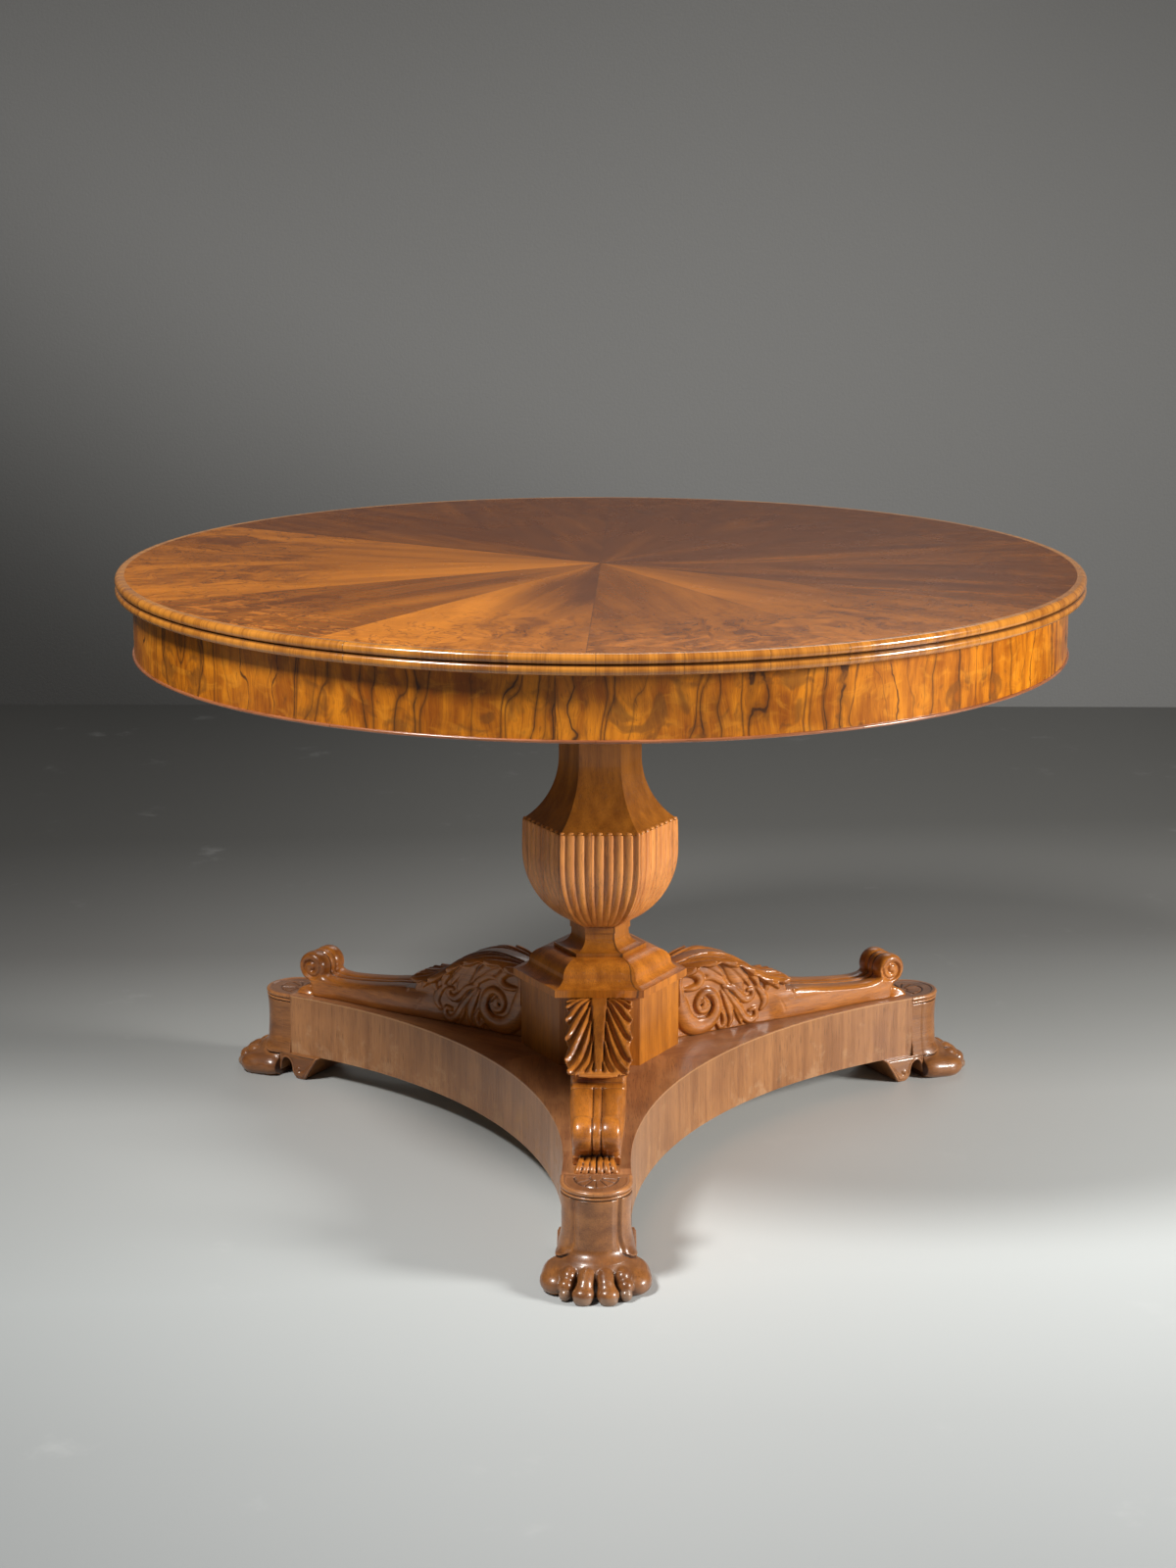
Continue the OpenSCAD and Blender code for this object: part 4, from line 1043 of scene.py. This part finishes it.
foot_cell = 0.95
paw_corner = (-68, 491.5, -2.2)
x, r, z = here = block_of(paw_corner, (68, 586, 38.5), foot_cell)
toes = np.full(np.broadcast(x, r, z).shape, 1e3)
claws = np.full(toes.shape, 1e3)
for side in (-1, 1):
    knuckle = ball(here, (side*10.8, 554, 22.4), (9.2, 12.0, 10.0))
    middle = ball(here, (side*12.0, 563.0, 17.5), (9.6, 9.6, 9.6))
    tip = ball(here, (side*14.0, 570.0, 9.2), (13.2, 13.0, 10.4))
    root = finger(here, (side*9.5, 530, 18), (side*10.8, 552, 22.0), 8.6, 8.8)
    claw = ball(here, (side*14.6, 575.5, 5.2), (11.0, 8.0, 7.2))
    toe = softly(softly(softly(knuckle, middle, 4.0), tip, 4.5), root, 6.0)
    claws = np.minimum(claws, claw)
    toes = softly(toes, softly(toe, claw, 0.8), 0.7)
    knuckle = ball(here, (side*31.0, 548, 22.0), (8.6, 11.5, 10.0))
    tip = ball(here, (side*34.5, 559.5, 14.5), (8.6, 9.0, 9.4))
    root = finger(here, (side*27.0, 526, 18), (side*31.0, 546, 21.5), 8.0, 8.4)
    claw = ball(here, (side*35.0, 564.5, 7.0), (7.2, 8.0, 7.4))
    claws = np.minimum(claws, claw)
    toes = softly(toes, softly(softly(softly(knuckle, tip, 3.0), root, 6.0), claw, 1.0), 0.7)
whole_foot = softly(foot_wood(here), toes, 2.2)
joint_z, paw_lap, block_lap = paw_h - 0.8, 1.8, 1.4
paw = whole_foot + 0.9*np.maximum((z - joint_z)/paw_lap, 0.0)**2
paw = sawn(paw, z - joint_z - paw_lap, -z, nose_centre - r)
paw_skin = carve(paw, paw_corner, foot_cell, whole_foot)
spots = (paw_skin[0] - np.array(paw_corner))/foot_cell
claw_mark = held(1.3 - sampled(claws, spots)/1.2)
foot_light, foot_dark = (0.34, 0.135, 0.037), (0.160, 0.055, 0.015)
paw_finish = carved_finish("paw_walnut", foot_light, foot_dark, (0.45, 0.1), 42.0, clawed=True)
for_three_arms("carved_paw", paw_skin, paw_finish, "paw_walnut", "paw_foot", {"claw": claw_mark})


# ---- End blocks ----
# Solid walnut blocks with a round nose, glued and dowelled with beech to the ends of the arms. A flat
# pilaster stands between two flutes, and a leaf-shaped lobe swells out at each side of the foot.

end_corner = (-53.75, 472.5, 32.0)
_, r, z = here = block_of(end_corner, (54, 552, 110.5), foot_cell)
whole_foot = hardly(foot_wood(here), arm_reach - r, 0.8)
block = whole_foot + 0.9*np.maximum((joint_z - z)/block_lap, 0.0)**2
block = sawn(block, z - end_top, joint_z - block_lap - z)
end_finish = carved_finish("end_walnut", foot_light, foot_dark, (0.35, 0.12), 42.0)
block_skin = carve(block, end_corner, foot_cell, whole_foot)
for_three_arms("carved_end", block_skin, end_finish, "end_walnut", "end_block")

wood = Finish("dowel_beech")
spot = wood.place()
fibres = wood.noise(scaled(wood, spot, (1.0, 0.05, 1.0)), 500.0, 2.0)
flecks = wood.step(wood.noise(scaled(wood, spot, (1.0, 0.2, 1.0)), 300.0, 1.0), 0.62, 0.70)
colour = wood.mix(fibres, (0.48, 0.30, 0.16), (0.66, 0.45, 0.27))
finish = wood.surface(wood.mix(0.4*flecks, colour, (0.30, 0.15, 0.07)), 0.6, fibres, 0.0002)
dress(finish, "end_dowels")


# ---- Caps on the end blocks ----
# A thin walnut slab with a fan cut into its top, finished with two half-round beads that run round
# the nose. The beads are worked on the slab's edge and polished by use.

cap_r, cap_corner, cap_cell = 38.2, (-41, 474.5, 106.5), 0.7
x, r, z = block_of(cap_corner, (41, 536, 120.5), cap_cell)
radius, _ = nose_plan(x, r)
fan_out, fan_pitch, fan_hub, fan_rim = 484.0, 26.0, 7.5, 25.5
fan_r = np.hypot(x, (r - fan_out)*0.82)
fan_turn = np.degrees(np.arctan2(x, r - fan_out))
from_cut = np.abs((fan_turn/fan_pitch + 0.5) % 1.0 - 0.5)*math.radians(fan_pitch)*fan_r
cuts = vee(from_cut, 1.3)*(fan_r > fan_hub)*(fan_r < fan_rim)
cuts = np.maximum(cuts, vee(fan_r - fan_hub, 1.3))
cuts = np.maximum(cuts, vee(fan_r - fan_rim, 1.5))
sunk = 0.5 + 2.0*cuts + 0.6*(fan_r > fan_rim)
rim_gap = held((36.0 - radius)/1.2)*held((r - 482.5)/1.2)
slab = hardly(radius - cap_r, z - plinth_top + sunk*rim_gap, 0.5)
slab = sawn(slab, arm_reach - r, end_top - z)
cap_finish = carved_finish("cap_walnut", (0.27, 0.112, 0.046), (0.135, 0.052, 0.020), (0.5, 0.1), 42.0)
for_three_arms("carved_cap", carve(slab, cap_corner, cap_cell), cap_finish, "end_walnut", "end_cap")

bead_sizes = {
    "Line radius": 0.0395, "Bead radius": 0.0030, "Low line radius": 0.0400, "Low bead radius": 0.00175,
    "Straight": 0.018, "Height": 0.1160, "Low height": 0.11065}
bead_finish = carved_finish(
    "bead_walnut", (0.46, 0.190, 0.062), (0.26, 0.100, 0.032), (0.5, 0.1), own_grain=False, depth=0.00005)


def nose_bead(layout, line_r, bead_r, level):
    """A bead round the nose: a half circle and two straight ends, swept with a round section."""
    line = layout.add(
        "GeometryNodeCurvePrimitiveLine", None, {"Start": (0.0, 0.0, 0.0), "End": (1.0, 0.0, 0.0)})
    line = layout.add("GeometryNodeResampleCurve", None, {"Curve": line, "Count": 61})
    share = layout.add("GeometryNodeSplineParameter")
    straight = layout.size("Straight")
    whole = 2.0*straight + math.pi*line_r
    run = share*whole
    bent = layout.limit((run - straight)/line_r, 0.0, math.pi)
    before = layout.function("MAXIMUM", straight - run, 0.0)
    after = layout.function("MAXIMUM", run - straight - math.pi*line_r, 0.0)
    across = -line_r*layout.function("COSINE", bent)
    out = line_r*layout.function("SINE", bent) - before - after
    placed = layout.add(
        "GeometryNodeSetPosition", None,
        {"Geometry": line, "Position": layout.vector(across, -(out + nose_centre/1000.0), level)})
    section = layout.add("GeometryNodeCurvePrimitiveCircle", None, {"Resolution": 16, "Radius": bead_r})
    return layout.add(
        "GeometryNodeCurveToMesh", None, {"Curve": placed, "Profile Curve": section, "Fill Caps": True})


for turn, arm in enumerate(arm_names):
    beads = Layout(f"beads_layout_{arm}", bead_sizes)
    pair = beads.add("GeometryNodeJoinGeometry")
    for labels in (
            ("Line radius", "Bead radius", "Height"), ("Low line radius", "Low bead radius", "Low height")):
        bead = nose_bead(beads, *[beads.size(label) for label in labels])
        beads.group.links.new(bead.socket, pair.socket.node.inputs[0])
    turned = beads.add(
        "GeometryNodeTransform", None, {"Geometry": pair, "Rotation": (0.0, 0.0, turn*arm_turn)})
    thing = close_up(beads.bake(f"cap_beads_{arm}", turned, bead_finish))
    fit(thing, "end_walnut", f"end_cap_{arm}")


# ---- Heel scrolls ----
# Behind each paw a walnut block is cut to a scroll that curls in on itself at the floor and runs up
# to the arm in a hollow curve. It is glued to the paw's flat back and to the arm above.

heel_line = even_line([
    (494, 35), (462, 35), (430, 35), (431, 32), (436, 24), (442, 15), (447, 7), (451, 1), (456, 0),
    (463, 0), (468, 3), (472, 9), (473, 15), (475, 22), (480, 27), (486, 27), (490, 21), (493, 9),
    (494, 3), (494, 20)], 5)


def outline_gap(line, u, v):
    """Distance from a closed outline, below 0 inside it."""
    closed = np.vstack([line, line[:1]])
    gap, _, _ = nearest(closed[:, :2], u, v)
    inside = np.zeros(np.shape(gap), bool)
    for p, q in zip(closed, closed[1:]):
        if p[1] != q[1]:
            crosses = (v < p[1]) != (v < q[1])
            inside ^= crosses & (u < p[0] + (v - p[1])*(q[0] - p[0])/(q[1] - p[1]))
    return np.where(inside, -gap, gap)


heel_half, heel_corner = 45.2, (-49.5, 427.5, -2.2)
x, r, z = block_of(heel_corner, (49.5, 496.5, 37.5), foot_cell)
side_r, side_z = np.broadcast_arrays(r[0], z[0])
heel_side = outline_gap(heel_line, side_r, side_z)
curl = lobe(
    [(433, 31, 2.5), (441, 20, 3.5), (449, 10, 4.5), (458, 6, 5), (464, 9, 4), (463, 14, 3), (459, 14, 2)],
    side_r, side_z, 1.8)
band = 1.3*vee(heel_side + 3.2, 1.0)
half_w = heel_half + curl - band
heel = hardly(heel_side[None], np.abs(x) - half_w[None], 1.4)
heel = sawn(heel, z - paw_h, -z, r - nose_centre)
heel_skin = carve(heel, heel_corner, foot_cell)
for_three_arms("carved_heel", heel_skin, paw_finish, "paw_walnut", "heel_scroll")


# ---- Scroll brackets ----
# Each bracket is one walnut plank, shaped to a strap that rises from a small roll on the arm to a
# crest against the block. An acanthus leaf lies over its back, a fat volute with curling fronds is
# carved on both flanks, and a fluted shell fills the corner under the roll. Two screws hold it.

roll_r, roll_z, roll_size, roll_half = 450.0, 159.2, 21.3, 28.2
bracket_foot = 89.7
top_line = even_line([
    (bracket_foot, 209.5), (101, 214.5), (114, 218.5), (130, 222), (148, 224.2), (165, 223.5),
    (186, 218.5), (208, 209), (228, 195), (241, 187), (254, 182.2), (266, 180.5), (277, 178.8),
    (285, 173.5), (288.5, 166)], 6)
strap_line = even_line([
    (288.5, 158), (292, 158.6), (298, 158.2), (306, 157.3), (316, 156.2), (332, 153.6), (352, 151),
    (375, 148.6), (398, 147), (412, 146.8), (424, 148), (428.6, 149.8)], 5)
over_roll = [
    (roll_r + roll_size*math.cos(math.radians(a)), roll_z + roll_size*math.sin(math.radians(a)))
    for a in range(202, -76, -12)]
back_line = np.vstack([top_line, strap_line, over_roll])
leaf_end = float(np.hypot(*np.diff(top_line, axis=0).T).sum())
blade_pitch = 34.0
under_roll = even_line([(455, 137), (451, 131), (448, 125), (447, plinth_top)], 4)
side_line = np.vstack([back_line, under_roll, [(bracket_foot, plinth_top)]])

bracket_corner, bracket_cell = (-45.5, 86.0, 116.6), 1.3
x, r, z = block_of(bracket_corner, (45.5, 479.0, 235.0), bracket_cell)
side_r, side_z = np.broadcast_arrays(r[0], z[0])
side_gap = outline_gap(side_line, side_r, side_z)
back_gap, back_run, _ = nearest(back_line, side_r, side_z)
low_gap = side_z - plinth_top

# the flank's carving: a lower ground with the volute, its curl, the fronds and their curled tips
fronds = [
    ([(101, 225, 2.5), (128, 227, 4.5), (156, 222, 5.5), (184, 207, 6.5), (202, 190, 6.0),
      (212, 175, 1.5)], 4.6, 0.5),
    ([(182, 214, 2.0), (203, 203, 5.0), (217, 190, 7.0), (224, 178, 4.5), (226, 168, 1.5)], 5.2, 0.8),
    ([(214, 204, 2.0), (231, 194, 6.0), (240, 182, 7.5), (240, 170, 5.0), (236, 162, 2.0)], 4.0, 0.6),
    ([(103, 217, 2.0), (128, 219, 4.0), (150, 212, 5.5), (165, 201, 4.5), (173, 192, 1.5)], 3.6, 0.5),
    ([(160, 217, 2.5), (173, 210, 6.0), (185, 196, 9.5), (194, 182, 8.5), (202, 170, 3.0)], 3.4, 0.0),
    ([(104, 207, 2.0), (122, 211, 4.0), (141, 206, 5.5), (157, 197, 4.5), (168, 188, 1.5)], 3.0, 0.4),
    ([(138, 194, 2.0), (152, 196, 4.5), (165, 190, 5.5), (177, 180, 2.5)], 3.4, 0.4),
    ([(170, 181, 2.5), (187, 174, 5.5), (198, 162, 6.0), (208, 156, 5.5), (217, 160, 4.5), (217, 168, 3.6),
      (210, 169, 2.8)], 4.2, 0.5),
    ([(172, 176, 2.5), (184, 161, 5.0), (195, 147, 6.0), (204, 133, 6.0), (214, 126, 5.5), (223, 131, 4.5),
      (221, 141, 3.6), (213, 140, 2.8)], 4.2, 0.5),
    ([(168, 174, 2.0), (175, 160, 4.5), (181, 146, 5.5), (183, 133, 4.0), (180, 124, 2.0)], 3.6, 0.5),
    ([(176, 168, 1.5), (188, 152, 3.5), (195, 137, 4.5), (200, 124, 2.0)], 3.0, 0.4),
    ([(166, 150, 2.0), (172, 138, 4.0), (172, 128, 4.5), (166, 124, 4.0), (162, 129, 3.0)], 3.8, 0.0),
    ([(222, 172, 2.5), (233, 161, 5.5), (237, 149, 5.5), (231, 139, 3.0)], 3.2, 0.3),
    ([(226, 186, 2.0), (242, 179, 4.5), (255, 170, 4.5), (259, 164, 1.5)], 3.8, 0.5),
    ([(246, 187, 2.0), (261, 179, 4.5), (273, 170, 4.5), (278, 163, 1.5)], 3.4, 0.5),
]
volute = [
    (103, 204, 5), (98, 190, 8), (103, 166, 12), (113, 143, 14.5), (130, 132, 14.5), (148, 136, 12.5),
    (159, 150, 9.0), (157, 167, 7.0), (146, 177, 6.0), (134, 173, 5.0), (129, 162, 4.6), (134, 152, 4.4),
    (144, 151, 4.0), (148, 158, 3.4), (144, 163, 2.4)]
volute_curl = [
    (100, 202, 3), (112, 208, 5.5), (126, 205, 7.0), (134, 196, 7.0), (128, 187, 5.5), (116, 185, 4.0),
    (107, 186, 2.0)]
volute_eye = [(132, 160, 1.5), (139, 166, 4.0), (141, 158, 6.0), (137, 156, 4.0)]
relief = np.zeros(side_r.shape)
for points, raised, vein in [*fronds, (volute, 7.2, 0.0), (volute_curl, 6.4, 0.0), (volute_eye, 5.0, 0.0)]:
    relief = np.maximum(relief, lobe(points, side_r, side_z, raised, vein))
carved = smooth_step((266.0 - side_r - 0.16*(side_z - 150.0))/26.0)


def half_width(places, widths):
    """Half widths of the bracket, drawn at places along the arm."""
    return np.interp(side_r[:, 0], places, widths)[:, None]


ground = half_width([90, 160, 230, 262], [32.5, 31.5, 31.0, 31.5])
strap_w = half_width([240, 300, 350, 400, 430, 470], [34.5, 35.5, 33.5, 31.0, 29.0, 27.5])
strap_w = strap_w - 3.4*held(np.abs(side_z - 137.0)/20.0)**2*held((436.0 - side_r)/30.0)
half_w = carved*ground + (1.0 - carved)*strap_w + relief*held((279.0 - side_r)/6.0)
leaf_w = half_width([90, 112, 235, 262, 277, 288], [41.0, 44.0, 44.0, 42.0, 38.5, 33.5])
fold_depth = 9.0 + 4.5*np.abs(np.sin(math.pi*(back_run - 12.0)/blade_pitch))
fold_depth = fold_depth*(0.35 + 0.65*smooth_step((292.0 - side_r)/30.0))
fold = bowed(back_gap/fold_depth)
folded = half_w + np.maximum(leaf_w - half_w, 0.0)*fold - 1.0*bell(back_gap - 0.55*fold_depth, 1.3)
half_w = np.where((side_r < 287.5) & (back_gap < fold_depth), np.maximum(half_w, folded), half_w)
crack, _, _ = nearest(np.array([(262.0, 147.0), (266.0, 140.0), (270.0, 131.0)]), side_r, side_z)
half_w = half_w - 0.9*vee(crack, 0.9)
away = np.hypot(side_r - roll_r, side_z - roll_z)
coil = np.array([
    (roll_r + q*math.cos(a), roll_z + q*math.sin(a))
    for a, q in ((math.radians(172 + 24*i), 15.8 - 0.62*i) for i in range(20))])
coil_gap, _, _ = nearest(coil, side_r, side_z)
coiled = 3.4*bell(coil_gap, 1.9) + 1.6*held((roll_size - 4.0 - away)/8.0)
on_roll = away < roll_size + 0.5
half_w = np.where(on_roll, roll_half - coiled, half_w)

# the leaf and the strap on the back: how deep the wood is cut below the back line
runs = np.arange(0.0, float(back_run.max()) + 2.0, 1.0)
sides = np.abs(x[:, 0, 0])
lane_u, lane_v = np.meshgrid(runs, sides, indexing="ij")
rib_end = leaf_end - 15.0
rib_half = np.interp(lane_u, [0, 60, rib_end], [10.0, 9.6, 3.4])
rib = 4.8*held((rib_half - lane_v)/1.0 + 1.0)*held((rib_end - lane_u)/5.0)
raised = rib
for i in range(-2, 6):
    root = 6.0 + blade_pitch*i
    stem = float(np.interp(root, [0, 60, rib_end], [11.5, 11.0, 5.5]))
    blade = [
        (root, stem, 1.6), (root + 26, stem + 4.5, 3.4), (root + 50, stem + 11.5, 5.0),
        (root + 72, stem + 20, 6.2), (root + 88, 37.0, 5.4), (root + 98, 44.5, 2.6)]
    gap, _, (half,) = nearest(even_line(blade), lane_u, lane_v)
    swell = held(1.0 - (gap/np.maximum(half, 0.2))**1.7)**0.8
    raised = np.maximum(raised, 5.4*swell*held(half/6.2 + 0.45))
lip = 5.2*bowed((lane_u - leaf_end + 8.0)/4.6)*held((26.5 - lane_v)/2.5)
low = 5.4 + 0.0022*lane_v**2
fading = smooth_step((leaf_end - 12.0 - lane_u)/9.0)
dish = low*(0.50 + 0.50*fading)
leaf_cut = np.minimum(dish - raised*fading, low - lip)
leaf_cut = np.where(lane_v > 27.0, np.minimum(leaf_cut, low - raised), leaf_cut)
edge_v = np.interp(lane_u - leaf_end, [0, 60, 130, 200], [33.0, 31.0, 28.0, 26.5])
bands = np.abs(lane_v - 0.5*(edge_v + 5.5))/(0.5*(edge_v - 5.5))
strap_cut = 3.8*(1.0 - np.sqrt(held(1.0 - held(bands)**2.4)))
strap_cut = np.where(lane_v < 4.6, 0.7 + 0.05*lane_v**2, strap_cut)
past_leaf = held((lane_u - leaf_end + 0.5)/2.0)
cut_depth = (1.0 - past_leaf)*leaf_cut + past_leaf*strap_cut
near_back = back_gap < low_gap
run_i = np.clip(np.round(back_run).astype(int), 0, len(runs) - 1)
cut = np.where(near_back[None], cut_depth[run_i].transpose(2, 0, 1), 0.0)
bracket = side_gap[None] + cut
hole = np.hypot((side_r - 278.0)/1.3, side_z - 166.5) - 6.0
mouth = np.maximum(np.maximum(272.0 - side_r, side_r - 291.0), np.abs(side_z - 162.0) - 3.0)
hole = softly(hole, mouth, 1.5)
bracket = hardly(bracket, np.abs(x) - half_w[None], 2.2)
bracket = hardly(bracket, -hole[None], 1.0)

# the shell under the roll
shell_r, shell_reach, shell_rise = 449.0, 26.2, 13.0
shell_out, shell_up = (side_r - shell_r)/shell_reach, (side_z - plinth_top)/shell_rise
shell_turn = np.arctan2(shell_up, shell_out)
lobe_pitch = 9.0 - 2.4*held(shell_turn/(math.pi/2))
flute = 1.0 - np.abs(np.sin(math.pi*np.abs(x)/lobe_pitch[None]))
fluted = 1.0 - 0.26*(1.0 - bowed(flute))
shell = (np.hypot(shell_out, shell_up)[None] - fluted)*shell_rise
shell = sawn(shell, np.abs(x) - 3.0*lobe_pitch[None], 444.0 - side_r[None])
bracket = softly(bracket, shell, 0.8)
bracket = sawn(bracket, plinth_top - z, bracket_foot - r)
bracket_finish = carved_finish("bracket_walnut", (0.53, 0.178, 0.022), (0.24, 0.070, 0.009), (0.5, 0.1))
bracket_skin = carve(bracket, bracket_corner, bracket_cell)
for_three_arms("carved_bracket", bracket_skin, bracket_finish, "bracket_walnut", "scroll_bracket")
